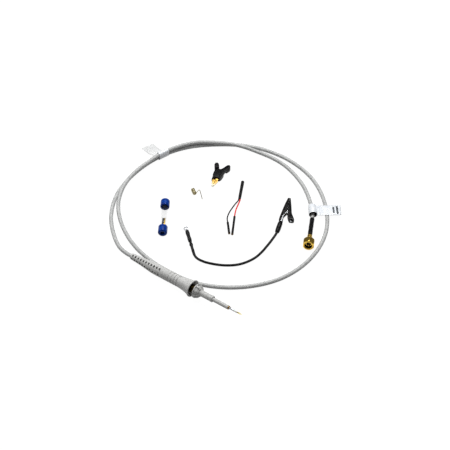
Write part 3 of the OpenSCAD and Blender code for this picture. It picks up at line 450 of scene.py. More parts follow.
# Tin over copper: whiter and softer than nickel, lightly streaked
TIN = finish("bright_tin_plate", ["#B0B2B6", "#C6C8CB", "#D9DADC"], 0.9, 0.26, 0.012, Metallic=1.0)
# Spring steel wire, drawn and oiled: grey with a straw tint
SPRING_STEEL = finish("drawn_spring_wire", ["#8C8468", "#B4AA86", "#DAD2B2"], 0.8, 0.25, 0.008,
                      spread=0.05, Metallic=1.0)
# Mild steel, stamped and zinc plated: cool grey, scuffed
ZINC_STEEL = finish("zinc_plated_steel", ["#9EA1A5", "#BCBFC2", "#CDD0D3"], 1.0, 0.32, 0.015, Metallic=1.0)
# PTFE, turned: milky white, soft gloss
PTFE = finish("turned_ptfe", ["#E6E5E0", "#F0EFEB", "#F6F5F2"], 0.8, 0.38, 0.01,
              **{"IOR": 1.35, "Subsurface Weight": 0.15, "Subsurface Scale": 0.0006})
# Black: painted shade on the connector's insulator deep inside the nut, and the black spare tip's own
# colour
BLACK_TIP_AND_SHADE = finish("black_tip_and_painted_shade", ["#030303", "#060606", "#0A0909"], 0.6, 0.5, 0.01,
                    **{"IOR": 1.52, "Specular IOR Level": 0.15})
# Polypropylene, moulded and dyed through: deep blue, glossy, mottled where it sank on cooling
BLUE_CAP = finish("moulded_blue_polypropylene", ["#01246C", "#02348C", "#0446A2"], 2.4, 0.28, 0.04,
                  **{"IOR": 1.49, "Specular IOR Level": 0.16})
# Nitrile rubber seal: dead black
NITRILE = finish("moulded_nitrile", ["#040404", "#080808", "#0C0C0C"], 0.7, 0.7, 0.02,
                 **{"IOR": 1.5, "Specular IOR Level": 0.2})
# Nylon, moulded in a textured tool: black with a crisp broken sheen
NYLON = finish("moulded_black_nylon", ["#020203", "#040405", "#08080A"], 0.9, 0.32, 0.04,
               spread=0.1, **{"IOR": 1.53, "Specular IOR Level": 0.13})
# Plasticised vinyl, dipped over the clip: black, wet gloss over a rippled skin
VINYL = finish("dipped_black_vinyl", ["#020202", "#040405", "#08080A"], 2.0, 0.2, 0.05,
               spread=0.08, **{"IOR": 1.54, "Specular IOR Level": 0.15})
# Polyolefin heat shrink: black, satin, wrinkled a little where it shrank unevenly
SHRINK_BLACK = finish("black_heat_shrink", ["#020203", "#050506", "#09090B"], 1.5, 0.32, 0.05,
                      spread=0.1, **{"IOR": 1.5, "Specular IOR Level": 0.15})
# Soft PVC insulation of the thin wires
BLACK_PVC = finish("black_wire_pvc", ["#020202", "#040405", "#08080A"], 1.2, 0.3, 0.03,
                   spread=0.08, **{"IOR": 1.53, "Specular IOR Level": 0.15})
RED_PVC = finish("red_wire_pvc", ["#DC0606", "#EC0A0A", "#F41612"], 1.2, 0.45, 0.03,
                 **{"IOR": 1.53, "Specular IOR Level": 0.15})
# Polyester film with a gloss laminate: cool white, with painted shadow inside its ring
LABEL = stain(finish("laminated_label_film", ["#DFE4EA", "#E9EDF2", "#F1F4F7"], 2.5, 0.2, 0.02,
                     **{"IOR": 1.57, "Coat Weight": 0.4, "Coat Roughness": 0.06}),
              "inside", [(0.0, "#C8CCD0"), (1.0, "#141516")])
# The clear tail of the same film, without its white print
CLEAR_FILM = finish("clear_label_tail", ["#DADCDC", "#E2E3E3", "#E8E9E9"], 2.5, 0.3, 0.02,
                    **{"IOR": 1.57, "Alpha": 0.6})
# Printing ink on the film
INK = finish("label_ink", ["#33383C", "#42484D", "#50565B"], 0.6, 0.45, 0.0, IOR=1.5)
# Cellulose butyrate tube, extruded: clear, so that each wall takes only a trace of light away
CLEAR_TUBE = finish("extruded_clear_tube", ["#5C6266", "#666C70", "#70767A"], 3.0, 0.06, 0.01,
                    spread=0.02, **{"IOR": 1.48, "Alpha": 0.05, "Specular IOR Level": 0.8})
# What the shells hide
BOARD = finish("green_solder_mask", ["#0B3D20", "#10502B", "#166236"], 0.9, 0.4, 0.01, IOR=1.5)
LACQUER = finish("blue_resistor_lacquer", ["#4F86B0", "#6A9DC4", "#83B1D2"], 0.6, 0.35, 0.01, IOR=1.5)
CERAMIC = finish("fired_ceramic", ["#8C6F52", "#A38565", "#B59A7B"], 0.5, 0.5, 0.01, IOR=1.6)
TRIMMER = finish("glazed_orange_ceramic", ["#C46A1C", "#DB8030", "#E79448"], 0.5, 0.3, 0.01, IOR=1.6)
COPPER = finish("bare_copper", ["#B06A45", "#C98058", "#DB9870"], 0.5, 0.3, 0.01, Metallic=1.0)


# ---- Camera and light ---------------------------------------------------------------------


def aim(thing, place, target):
    """Puts a camera or lamp at a place, looking at the target."""
    thing.location = place
    thing.rotation_euler = (Vector(target) - Vector(place)).to_track_quat("-Z", "Y").to_euler()
    bpy.context.scene.collection.objects.link(thing)
    return thing


def make_camera():
    """The view from the right front, 45 degrees above the table."""
    lens = bpy.data.cameras.new("camera")
    lens.lens = 85
    lens.sensor_width = 36
    lens.clip_start = 0.01
    lens.clip_end = 50
    camera = bpy.data.objects.new("camera", lens)
    bpy.context.scene.camera = aim(camera, (0.3366, -0.4342, 0.5635), (-0.008, 0.0116, 0))


def soft_lamp(name, place, size, power):
    """A square soft box, size metres wide, that points at the middle of the table."""
    lamp = bpy.data.lights.new(name, "AREA")
    lamp.size = size
    lamp.energy = power
    aim(bpy.data.objects.new(name, lamp), place, (0, 0.01, 0))


def studio():
    """A pale table under one large soft box, a smaller side box, and a room that is darker low down.

    The table is white to the camera, to gloss and through glass, and mid grey to all other light, so
    that it doesn't bleach the undersides. A tenth of its white still takes shadows."""
    soft_lamp("overhead_box", (-0.15, 0.35, 0.85), 0.6, 7.8)
    soft_lamp("side_box", (-0.8, -0.1, 0.5), 0.4, 1.6)
    world = bpy.data.worlds.new("room")
    world.use_nodes = True
    tree = world.node_tree
    tree.nodes.clear()
    light_path = add(tree, "ShaderNodeLightPath")
    place = add(tree, "ShaderNodeTexCoord")
    split = add(tree, "ShaderNodeSeparateXYZ", {}, {0: place.outputs["Generated"]})
    tone = add(
        tree,
        "ShaderNodeValToRGB",
        {"stops": [(0.0, "#A0A0A0"), (0.2, "#585858"), (0.45, "#8E8E8E"), (0.9, "#D0D0D0")]},
        {"Fac": split.outputs["Z"]},
    )
    shade = add(tree, "ShaderNodeBackground", {"Strength": 0.7}, {"Color": tone.outputs["Color"]})
    white = add(tree, "ShaderNodeBackground", {"Color": (1, 1, 1, 1), "Strength": 1.0})
    chosen = add(
        tree,
        "ShaderNodeMixShader",
        {},
        {0: light_path.outputs["Is Camera Ray"], 1: shade.outputs[0], 2: white.outputs[0]},
    )
    add(tree, "ShaderNodeOutputWorld", {}, {"Surface": chosen.outputs[0]})
    bpy.context.scene.world = world
    bpy.context.scene.view_settings.view_transform = "Standard"

    table = bpy.data.materials.new("white_table")
    table.use_nodes = True
    tree = table.node_tree
    tree.nodes.clear()
    light_path = add(tree, "ShaderNodeLightPath")
    glossy = add(
        tree,
        "ShaderNodeMath",
        {"operation": "MAXIMUM"},
        {0: light_path.outputs["Is Glossy Ray"], 1: light_path.outputs["Is Transmission Ray"]},
    )
    seen = add(
        tree,
        "ShaderNodeMath",
        {"operation": "MAXIMUM"},
        {0: light_path.outputs["Is Camera Ray"], 1: glossy.outputs[0]},
    )
    bounce = add(tree, "ShaderNodeBsdfDiffuse", {"Color": (0.28, 0.28, 0.28, 1)})
    matt = add(tree, "ShaderNodeBsdfDiffuse", {"Color": (0.85, 0.85, 0.85, 1)})
    glow = add(tree, "ShaderNodeEmission", {"Color": (1, 1, 1, 1), "Strength": 1.08})
    pale = add(tree, "ShaderNodeMixShader", {0: 0.9}, {1: matt.outputs[0], 2: glow.outputs[0]})
    chosen = add(
        tree,
        "ShaderNodeMixShader",
        {},
        {0: seen.outputs[0], 1: bounce.outputs[0], 2: pale.outputs[0]},
    )
    add(tree, "ShaderNodeOutputMaterial", {}, {"Surface": chosen.outputs[0]})
    reach = 3.0
    drop = -0.00005
    corners = [(-reach, -reach, drop), (reach, -reach, drop), (reach, reach, drop), (-reach, reach, drop)]
    mesh = bpy.data.meshes.new("table")
    mesh.from_pydata(corners, [], [(0, 1, 2, 3)])
    mesh.materials.append(table)
    floor = bpy.data.objects.new("table", mesh)
    bpy.context.scene.collection.objects.link(floor)


# ---- Places and sizes ---------------------------------------------------------------------

# The probe lies on its boot and its finger guard; stations run from the boot's cable end
HANDLE_R = 4.15
FLANGE_R = 6.4
BOOT_FULL = 23.0
GUARD = 56.7
PROBE_LEAN = math.degrees(math.atan((FLANGE_R - HANDLE_R) / (GUARD - BOOT_FULL)))
PROBE_START = (
    -40.4,
    -57,
    HANDLE_R * math.cos(math.radians(PROBE_LEAN)) - BOOT_FULL * math.sin(math.radians(PROBE_LEAN)),
)
PROBE = Line(PROBE_START, heading(0, -PROBE_LEAN))
JOINT = 37.0
HANDLE_END = 57.3
NOSE_START = 60.3
CONE_START = 61.1
NOSE_TUBE = 64.5
NOSE_END = 75.2
SLEEVE_END = 88.6
BARREL_END = 89.4
CONTACT_END = 93.1
INSULATOR_END = 96.4
SOCKET_END = 98.9
NEEDLE_START = 93.0
NEEDLE_END = 100.9

# The connector lies on its nut and the end of its heat shrink; stations run from the nut's open face
NUT_FLAT = 4.0
NUT_LEN = 6.6
SHRINK_R = 1.8
FERRULE = 7.65
SHRINK = FERRULE + 3.9
SHRINK_END = SHRINK + 20
CONNECTOR_LEAN = math.degrees(math.atan((NUT_FLAT - SHRINK_R) / (SHRINK_END - NUT_LEN)))
CONNECTOR_HEIGHT = NUT_FLAT * math.cos(math.radians(CONNECTOR_LEAN)) + NUT_LEN * math.sin(
    math.radians(CONNECTOR_LEAN)
)
CONNECTOR = Line((56.2, 28, CONNECTOR_HEIGHT), heading(119, CONNECTOR_LEAN))
THREAD_R = 2.79

VIAL = Line((-57.8, 1.7, 3.5), heading(-53.6))
VIAL_LEN = 35.0
MINI_CLIP = Line((-46.1, 54.7, 0), heading(-71.9))
ADAPTER = Line((-25.5, 56.9, 1.3), heading(-60.3))
ADAPTER_LEN = 20.4
BLACK_END = Line((-7.6, 14.4, 0.9), heading(-47))
RED_END = Line((-7.3, 22.5, 0.9), heading(-57.8))
LUG_LEAN = math.degrees(math.atan((1.5 - 1.2) / (28 - 14.8)))
LUG_HEIGHT = 1.5 * math.cos(math.radians(LUG_LEAN)) + 14.8 * math.sin(math.radians(LUG_LEAN))
LUG = Line((-28.4, -9.7, LUG_HEIGHT), heading(-38.4, LUG_LEAN))
CLIP = Line((22.52, 49.46, 0), heading(119.5))
CLIP_MIDDLE = 2.3
WIRE_LEG = (-10, 3.9, CLIP_MIDDLE)
CLIP_SLEEVE_LEN = 11.7
CLIP_SLEEVE_R = 1.95
CLIP_SLEEVE = Line(
    CLIP.place(WIRE_LEG),
    heading(119.5 + 171.7, math.degrees(math.asin((CLIP_MIDDLE - CLIP_SLEEVE_R) / CLIP_SLEEVE_LEN))),
)

CABLE_D = 3.0
THIN_WIRE_D = 1.0
GROUND_WIRE_D = 1.9


# ---- Cords --------------------------------------------------------------------------------

# The cable goes once round below and once round above, and into the connector
CABLE_ROUTE = [
    *PROBE.place([(29.5, 0, 0), (0, 0, 0), (-5, 0, 0)]).tolist(),
    (-54, -55, 1.6), (-65.5, -48.4, 1.5), (-81, -34.4, 1.5), (-93.2, -14, 1.5),
    (-98.2, 10.1, 1.6), (-96.2, 35, 1.95), (-87, 58.6, 1.75), (-69.6, 78.2, 1.5),
    (-44.5, 94.3, 1.5), (-15, 99.5, 1.5), (14.5, 93, 1.5), (40, 74.5, 1.5),
    (57.2, 49.5, 1.5), (63, 20.5, 1.5), (57.5, -7.5, 1.5), (41, -30.8, 1.5),
    (16.5, -46.8, 1.5), (-13, -51.8, 1.5), (-42.5, -48.4, 1.5), (-67.5, -37, 1.5),
    (-84.7, -22.2, 1.8), (-91.8, -9.9, 3.9), (-95.1, 1.1, 4.7), (-96.7, 13.5, 4.65),
    (-95.9, 26.1, 5.05), (-94.2, 40.9, 5.1), (-88.8, 55.8, 5), (-80.7, 68.2, 4.75),
    (-69.2, 77.1, 4.7), (-54, 86, 4.1), (-36, 92.2, 1.6), (-12, 92.4, 1.5),
    (12.5, 82.9, 1.5), (30, 69.2, 1.6), (36.9, 61.9, 1.9),
    CONNECTOR.at(SHRINK_END - 2).tolist(), CONNECTOR.at(FERRULE + 1.9).tolist(),
]
WIRE_SIDE = THIN_WIRE_D / 2 + 0.06
BLACK_ROUTE = [
    *ADAPTER.place([(ADAPTER_LEN, -WIRE_SIDE, 0), (ADAPTER_LEN + 0.8, -WIRE_SIDE, 0)]).tolist(),
    (-15.2, 33.6, 0.8), (-14.4, 28.4, 0.5), (-13, 22.8, 0.5), (-10.8, 18, 0.6),
    BLACK_END.at(0).tolist(), BLACK_END.at(6).tolist(),
]
RED_ROUTE = [
    *ADAPTER.place([(ADAPTER_LEN, WIRE_SIDE, 0), (ADAPTER_LEN + 0.8, WIRE_SIDE, 0)]).tolist(),
    (-13.2, 34.8, 0.7), (-11.6, 30.4, 0.5), (-9.7, 26.5, 0.6),
    RED_END.at(0).tolist(), RED_END.at(6).tolist(), RED_END.at(12).tolist(),
]
GROUND_ROUTE = [
    LUG.at(6.6).tolist(), LUG.at(16.2).tolist(), LUG.at(28).tolist(),
    (-2.6, -28.6, 1), (3.4, -28.2, 0.95), (9.6, -26.1, 0.95), (15.4, -23.2, 0.95),
    (20.6, -19.5, 0.95), (25, -15, 0.95), (28.4, -9, 0.95), (30.5, -2, 0.95),
    (30.9, 5, 0.95), (30.4, 12, 1), (29.7, 19.5, 1.4),
    CLIP_SLEEVE.at(CLIP_SLEEVE_LEN).tolist(), CLIP_SLEEVE.at(0.4).tolist(),
]


def cord(name, route, diameter, node, material, steps=14):
    """A cord along its route, kept from sinking into the table."""
    path = smooth(route, steps)
    path[:, 2] = np.maximum(path[:, 2], diameter / 2)
    made = piece(name, [tube(path, diameter / 2)], [node], material)
    length = np.linalg.norm(np.diff(path, axis=0), axis=1).sum()
    return made, path * MM, length * MM


# ---- Probe --------------------------------------------------------------------------------


def rows_of_slots(half, edge):
    """Column angles for two opposite pairs of slot rows, 62 degrees apart within a pair, on a grid that is
    dense across each row and coarse between them. Also says which columns are in a row."""
    half = half[:, None]
    apart = math.radians(62)
    near = half + edge
    band = (half - edge) * np.linspace(-1, 1, 5)
    close = near + (apart - 2 * near) * np.linspace(0, 1, 6)
    wide = near + (np.pi - apart - 2 * near) * np.linspace(0, 1, 8)
    pair = np.concatenate([band, close, apart + band, apart + wide], axis=1)
    inside = np.repeat([True, False, True, False], [5, 6, 5, 8])
    return np.concatenate([pair, pair + np.pi], axis=1), np.tile(inside, 2)


def flex_boot():
    """The cable's boot: a taper with four rows of slots. On a grid of stations and angles the radius falls
    from the taper to the slot's floor wherever both the row and the column lie in a slot."""
    first, pitch, width, count = 1.7, 2.6, 1.15, 11
    floor_r = 1.75
    step = 0.05
    taper = smooth([(0, 2.2), (0.6, 2.35), (9.7, 2.93), (19.3, 3.9), (23, 4.13), (30, 4.15),
                    (36.6, 4.15)], 8)
    starts = first + pitch * np.arange(count)
    edges = [starts - step, starts + step, starts + width / 2, starts + width - step, starts + width + step]
    between = [starts + (width + pitch) / 2]
    plain = [[0.15, 0.5, 1.0, 29.6, 31, 33, 35, 36.2, 36.6, 36.85]]
    station = np.sort(np.concatenate(edges + between + plain))
    reach = np.interp(station, taper[:, 0], taper[:, 1])
    reach[station > 36.7] -= 0.08
    in_slot = np.any((station > starts[:, None]) & (station < starts[:, None] + width), axis=0)
    local, in_band = rows_of_slots(np.arcsin(0.8 / reach), step / 3)
    angles = local + math.radians(111)
    deep = in_slot[:, None] & in_band[None, :]
    radius = np.where(deep, floor_r, reach[:, None])
    # The rear lip turns in to the cable, and the front edge to the joint with the grip
    lip = [(0.0, 1.56), (0.0, 2.02)]
    joint = [(JOINT, 3.8), (JOINT, 3.2)]
    for row, (at, r) in enumerate(lip):
        station = np.insert(station, row, at)
        radius = np.insert(radius, row, r, axis=0)
        angles = np.insert(angles, row, angles[0], axis=0)
        deep = np.insert(deep, row, False, axis=0)
    for at, r in joint:
        station = np.append(station, at)
        radius = np.append(radius, np.full((1, radius.shape[1]), r), axis=0)
        angles = np.append(angles, angles[-1:], axis=0)
        deep = np.append(deep, np.zeros((1, deep.shape[1]), bool), axis=0)
    points = around(station[:, None], radius, angles)
    # The slots are marked for painted shade, which the boot's finish turns black
    return piece("flex_boot", [Sheet(PROBE.place(points), capped=True, marks={"recess": deep * 1.0})],
                 ["cable_boot"], BOOT)


def grip():
    """The handle: a turned shell with three grip grooves, a flare and the finger guard's rim."""
    depth, half = 0.45, 0.52
    grooves = [40.1, 42.55, 45.0]
    outline = [(JOINT, 3.3), (JOINT, HANDLE_R - depth), (JOINT + 0.4, HANDLE_R)]
    for middle in grooves:
        outline += [(middle - half, HANDLE_R), (middle - half + 0.15, HANDLE_R - depth),
                    (middle + half - 0.15, HANDLE_R - depth), (middle + half, HANDLE_R)]
    flare = smooth([(46, HANDLE_R), (49.8, 4.45), (53.6, 5.15), (56, 5.95), (GUARD, FLANGE_R)], 5)
    outline += [tuple(p) for p in flare.tolist()]
    outline += [(HANDLE_END, FLANGE_R - 0.1), (HANDLE_END, FLANGE_R - 0.8),
                (HANDLE_END - 2.8, HANDLE_R + 0.1), (HANDLE_END - 2.8, 3.2), (JOINT + 1.5, 3.2)]
    return lathed("grip_shell", PROBE, outline, "handle_shell", GRIP, 0.14, steps=72)


def nose():
    """The nose: a disc, a ribbed cone and a tube with a collar. The ribs stand on the cone as eight bands
    of a grid of stations and angles, with the radius of the rib or of the cone, whichever is more."""
    disc_r, disc = 5.5, CONE_START - NOSE_START
    cone_shares = np.array([0.02, 0.1, 0.25, 0.4, 0.55, 0.7, 0.8, 0.88, 0.95, 1.0])
    stations = np.concatenate([
        [NOSE_START, NOSE_START], NOSE_START + disc * np.array([0.08, 0.3, 0.7, 0.92, 1.0]),
        CONE_START + (NOSE_TUBE - CONE_START) * cone_shares,
        [66.0, 69.0, 72.0, 73.8, 73.9, 73.95, 74.9, 75.15, NOSE_END],
    ])
    share = np.clip((stations - CONE_START) / (NOSE_TUBE - CONE_START), 0, 1)
    plain = np.interp(stations, NOSE_START + disc * np.array([0, 0.08, 0.3, 0.7, 0.92, 1.0]),
                      disc_r - np.array([0.2, 0.08, 0, 0, 0.08, 0.2]))
    cone = 2.25 + 2.05 * (1 - share**1.4)
    tube_r = np.interp(stations, [73.85, 73.95, 74.9, NOSE_END], [2.25, 2.37, 2.37, 2.2])
    plain = np.where(stations > CONE_START + 0.01, np.where(share < 1, cone, tube_r), plain)
    plain[0] = 3.2
    rib = np.where((share > 0.01) & (share < 0.98), 2.4 + 2.6 * np.sqrt(1 - share**2), 0)
    middle_r = np.maximum(plain, rib) * 0.5 + plain * 0.5
    angles, in_rib = sectors(8, np.arcsin(0.5 / middle_r), 0.012)
    radius = np.where(in_rib[None, :], np.maximum(plain, rib)[:, None], plain[:, None])
    bore = [(NOSE_END, 1.67), (NOSE_END - 2.2, 1.67), (NOSE_END - 2.2, 1.3), (NOSE_START + 1, 1.3),
            (NOSE_START + 1, 3.2)]
    radius = np.vstack([radius, np.repeat([[r] for _, r in bore], radius.shape[1], axis=1)])
    angles = np.vstack([angles, np.repeat(angles[-1:], len(bore), axis=0)])
    stations = np.append(stations, [s for s, _ in bore])
    points = around(stations[:, None], radius, angles)
    return piece("ribbed_nose", [Sheet(PROBE.place(points), True)], ["nose_cone"], NOSE)


def probe_front():
    """What is in front of the nose: housing, sleeve, barrel, contact tube, insulator, socket and needle."""
    # The housing's brass is painted dark as the shade under the finger guard
    lathed("brass_housing", PROBE,
           [(51.5, 1.0), (51.5, 3.15), (62.25, 3.15), (62.25, 1.27), (52.8, 1.27), (52.8, 1.0)],
           "front_housing", SHADED_BRASS)
    lathed("nose_sleeve", PROBE,
           [(73, 1.29), (73, 1.65), (75.1, 1.65), (75.1, 1.48), (SLEEVE_END - 0.1, 1.48),
            (SLEEVE_END, 1.38), (SLEEVE_END, 1.29)],
           "front_sleeve", NOSE, 0.05)
    lathed("barrel_tube", PROBE, [(52.8, 0.9), (52.8, 1.25), (BARREL_END, 1.25), (BARREL_END, 0.9)],
           "ground_barrel", WORN_GOLD)
    lathed("nickel_contact", PROBE,
           [(86.1, 0.6), (86.1, 0.68), (BARREL_END, 0.68), (BARREL_END, 0.85), (CONTACT_END, 0.85),
            (CONTACT_END, 0.6)],
           "contact_tube", NICKEL, 0.05)
    lathed("white_tip", PROBE,
           [(89.15, 0.47), (89.15, 0.58), (CONTACT_END, 0.58), (CONTACT_END, 0.65), (INSULATOR_END, 0.65),
            (INSULATOR_END, 0.47)],
           "tip_insulator", PTFE, 0.05)
    lathed("gilt_socket", PROBE,
           [(89.15, 0.1), (89.15, 0.45), (INSULATOR_END, 0.45), (INSULATOR_END, 0.55),
            (SOCKET_END - 0.3, 0.55), (SOCKET_END, 0.42), (SOCKET_END, 0.28), (89.4, 0.28), (89.4, 0.1)],
           "tip_socket", PALE_GOLD, 0.05)
    lathed("needle", PROBE,
           [(NEEDLE_START, 0.05), (NEEDLE_START, 0.24), (NEEDLE_END - 1.2, 0.24), (NEEDLE_END - 0.05, 0.03),
            (NEEDLE_END, 0.01)],
           "tip_plunger", PALE_GOLD, 0.04, closed=False)


# ---- Connector ----------------------------------------------------------------------------


def coupling_nut():
    """The hexagon nut. Its outside is the least of the hexagon, flat / cos(angle to the flat), and the
    chamfer cone at each end; its bore carries a thread, a ridge that climbs one pitch a turn."""
    pitch = 25.4 / 36
    steps = 96
    angle = np.arange(steps) * TURN / steps
    to_flat = (angle + TURN / 12) % (TURN / 6) - TURN / 12
    hexagon = NUT_FLAT / np.cos(to_flat)
    corner_r = NUT_FLAT / math.cos(TURN / 12)
    outer_s = np.array([0.0, 0.12, 0.3, 0.5, 0.8, 1.1, 3.2, 5.2, 5.5, 5.8, 6.1, 6.3, 6.48, NUT_LEN])
    chamfer = np.interp(outer_s, [0, 0.15, 1.1, 5.2, 6.3, NUT_LEN],
                        [3.75, 3.95, corner_r + 0.05, corner_r + 0.05, 3.8, 3.55])
    outer_r = np.minimum(hexagon[None, :], chamfer[:, None]) - 0.06 * (np.cos(6 * angle) < -0.96)
    bore = [(NUT_LEN, 2.5), (4.45, 2.5)]
    thread_s = np.arange(4.4, 0.35, -0.06)
    turn_share = (thread_s[:, None] / pitch + angle[None, :] / TURN) % 1.0
    thread_r = THREAD_R + 0.34 * (1 - np.abs(2 * turn_share - 1))
    mouth = [(0.3, 3.2), (0.0, 3.35)]
    rows = [(outer_s, outer_r)]
    rows += [(np.array([s]), np.full((1, steps), r)) for s, r in bore]
    rows += [(thread_s, thread_r)]
    rows += [(np.array([s]), np.full((1, steps), r)) for s, r in mouth]
    station = np.concatenate([s for s, _ in rows])[:, None] + 0 * angle
    radius = np.concatenate([r for _, r in rows])
    points = around(station, radius, angle)
    # Painted shade: the thread deep in the bore is marked to go dark
    recess = (radius < 3.3) & (station > 0.7) & (station < 6.0)
    sheet = Sheet(CONNECTOR.place(points), True, marks={"along": station * MM, "recess": recess})
    return piece("hexagon_nut", [sheet], ["coupling_nut"], NUT_GOLD)


def connector():
    """The connector behind and inside its nut, and the heat shrink over its crimp."""
    body = lathed("connector_shell", CONNECTOR,
                  [(2.2, 1.77), (2.2, 2.3), (3.9, 2.3), (3.9, 2.0), (4.45, 2.0), (4.45, 2.46), (6.95, 2.46),
                   (6.95, 3.01), (7.2, 3.01), (FERRULE, 1.9), (FERRULE, 0.95), (9.35, 0.95), (9.35, 0.78),
                   (6.8, 0.78), (6.8, 1.77)],
                  "connector_body", GOLD, 0.07)
    pin = lathed("gilt_centre_pin", CONNECTOR,
                 [(NUT_LEN, 0.2), (NUT_LEN, 0.46), (0.8, 0.46), (0.3, 0.2), (0.28, 0.02)],
                 "center_pin", GOLD, 0.06, closed=False)

    def crimped(station, angle):
        """Six shallow flats that the crimping tool pressed, deepest at the middle of the ferrule."""
        middle = np.exp(-(((station - FERRULE - 2.1) / 1.1) ** 2))
        return -0.09 * middle * (0.5 + 0.5 * np.cos(6 * angle)) * (station > FERRULE + 0.2)

    ferrule = lathed("crimped_ferrule", CONNECTOR,
                     [(FERRULE, 1.56), (FERRULE, 1.9), (FERRULE + 1.3, 1.9), (FERRULE + 2.1, 1.9),
                      (FERRULE + 2.9, 1.9), (SHRINK, 1.9), (SHRINK, 1.56)],
                     "connector_ferrule", GOLD, wobble=crimped)
    stations = np.linspace(SHRINK + 0.1, SHRINK_END - 0.1, 60)
    drawn_in = 0.06 * np.sin(stations * 0.9) + 0.03 * np.sin(stations * 2.3 + 1)
    outline = [(SHRINK, 1.64), (SHRINK, SHRINK_R - 0.08)]
    outline += list(zip(stations, SHRINK_R - 0.08 + 0.6 * drawn_in))
    outline += [(SHRINK_END, SHRINK_R - 0.14), (SHRINK_END, 1.64)]

    def wrinkled(station, angle):
        """Low folds that run slantwise round the tube."""
        return 0.02 * np.sin(3 * angle + 0.8 * station) * np.sin(0.5 * station + 2 * angle)

    shrink = lathed("connector_heat_shrink", CONNECTOR, outline, "connector_shrink", SHRINK_BLACK, 0.1,
                    wobble=wrinkled)
    return [body, pin, ferrule, shrink]


# ---- Labels -------------------------------------------------------------------------------


def flag(line, near, far, bend, rows=15, columns=12):
    """A flap of film between two edges, each a few (forward, side) points evenly spread in the line's
    frame: straight from edge to edge, at a height that bend gives from the shares across and out."""
    across = np.linspace(0, 1, columns)[None, :, None]
    out = np.linspace(0, 1, rows)
    edges = []
    for edge in (near, far):
        share = np.linspace(0, 1, len(edge))
        edges.append(np.stack([np.interp(out, share, values) for values in np.transpose(edge)], axis=1))
    flat = (1 - across) * edges[0][:, None] + across * edges[1][:, None]
    height = bend(across[..., 0], out[:, None])[..., None] + 0 * flat[..., :1]
    return Sheet(line.place(np.concatenate([flat, height], axis=2)), False, False)


def probe_end_label():
    """The label round both strands, one on the other, near the probe: a strip that dips between them, and
    its clear tail."""
    line = Line((-93.96, 41.95, 3.56), heading(75))
    a = np.linspace(0, TURN, 64, endpoint=False)
    bore_r = 1.8
    lift = np.clip(np.sin(a) * 4.5, -1.56, 1.56)
    section = np.stack([bore_r * np.cos(a) - 0.13 * lift, bore_r * np.sin(a) + lift], axis=1)
    pinch = 0.1 * np.exp(-((section[:, 1] / 0.7) ** 2))
    section[:, 0] *= 1 - pinch
    outward = unit(np.stack([np.cos(a), np.sin(a)], axis=1))
    strip = piece("probe_label_strip", [band(line, section, outward, 9.0, 0.2)],
                  ["probe_end_label"], LABEL)

    def droop(across, out):
        return -1.4 + 0.5 * np.sin(np.pi * out) + 0.2 * out + 0.15 * np.sin(3 * across)

    tail = piece("probe_label_tail",
                 [flag(line, [(-4.4, 1.95), (-8.4, 7.8), (-8.9, 12.5), (-9.1, 17.3)],
                       [(4.3, 1.95), (1.5, 7.6), (1.4, 12), (1.3, 16.3)], droop, rows=19)],
                 ["probe_end_label"], CLEAR_FILM, wall=0.14, stands_for=False)
    return [strip, tail]


def connector_end_label():
    """The label near the connector: a loose ring round the cable and a flag with two plain bars."""
    ring_r, thickness, flag_end = 3.0, 0.2, 21.6
    centre = np.array([36.9, 61.9, ring_r + thickness])
    line = Line(centre, heading(39))
    across = Line(centre, heading(39 + 90))
    a = np.linspace(0, TURN, 64, endpoint=False)
    circle = np.stack([np.cos(a), np.sin(a)], axis=1)
    squashed = circle * (ring_r, ring_r * 0.98)
    loop = band(across, squashed, circle, 9.0, thickness)
    sideways = (loop.points - centre) @ across.directions[1:].T
    # Painted shadow: the ring's inner wall is marked to go dark
    loop.marks["inside"] = np.linalg.norm(sideways, axis=-1) < ring_r + 0.04
    ring = piece("connector_label_ring", [loop], ["connector_end_label"], LABEL)

    def wave(side, out):
        return 0.05 + 0.25 * np.sin(2.4 * out) * out - 0.2 * (2 * side - 1) ** 2 * out

    face = piece("connector_label_flag",
                 [flag(line, [(2.6, -5.2), (flag_end - 0.4, -5.3)], [(2.6, 5.2), (flag_end, 5.3)], wave)],
                 ["connector_end_label"], LABEL, wall=0.16, stands_for=False)
    bars = []
    for start, end, low, high in [(0.66, 0.73, 0.2, 0.82), (0.8, 0.88, 0.1, 0.9)]:
        out = np.linspace(start, end, 4)[:, None]
        side = np.linspace(low, high, 10)[None, :]
        bar = np.broadcast_arrays(2.6 + out * (flag_end - 2.6), -5.25 + side * 10.5, wave(side, out) + 0.03)
        bars.append(Sheet(line.place(np.stack(bar, axis=-1)), False, False))
    ink = piece("flag_index_bars", bars, ["connector_end_label"], INK, wall=0.02, stands_for=False)
    return [ring, face, ink]


# ---- Tip vial -----------------------------------------------------------------------------


def tip_vial():
    """The clear vial with its two caps, their seals and the two spare tips."""
    lathed("clear_vial", VIAL, [(3, 2.0), (3, 2.45), (32, 2.45), (32, 2.0)], "vial_tube", CLEAR_TUBE)
    far = Line(VIAL.at(VIAL_LEN), -VIAL.directions[0])
    cap = [(0, 1.6), (0, 2.85), (0.75, 3.5), (6.6, 3.5), (7, 3.15), (7, 2.5), (2.2, 2.5), (2.2, 1.6)]
    seal = [(2.22, 0.1), (2.22, 2.4), (2.9, 2.4), (2.9, 0.1)]
    for name, line in [("upper", VIAL), ("lower", far)]:
        lathed(f"{name}_blue_cap", line, cap, f"{name}_vial_cap", BLUE_CAP, 0.3)
        lathed(f"{name}_rubber_seal", line, seal, f"{name}_cap_seal", NITRILE, closed=False)
    tip = [(0, 0.03), (0.1, 0.08), (1.2, 0.24), (2.6, 0.24), (3, 0.58), (9.5, 0.58), (9.5, 0.1)]
    for name, side, metal in [("black", -1, BLACK_TIP_AND_SHADE), ("gold", 1, GOLD)]:
        line = Line(VIAL.place((27.3, side * 0.62, -1.255)), -VIAL.directions[0])
        lathed(f"{name}_spare_needle", line, tip, f"{name}_spare_tip", metal, 0.06, closed=False)


# ---- Ground spring ------------------------------------------------------------------------


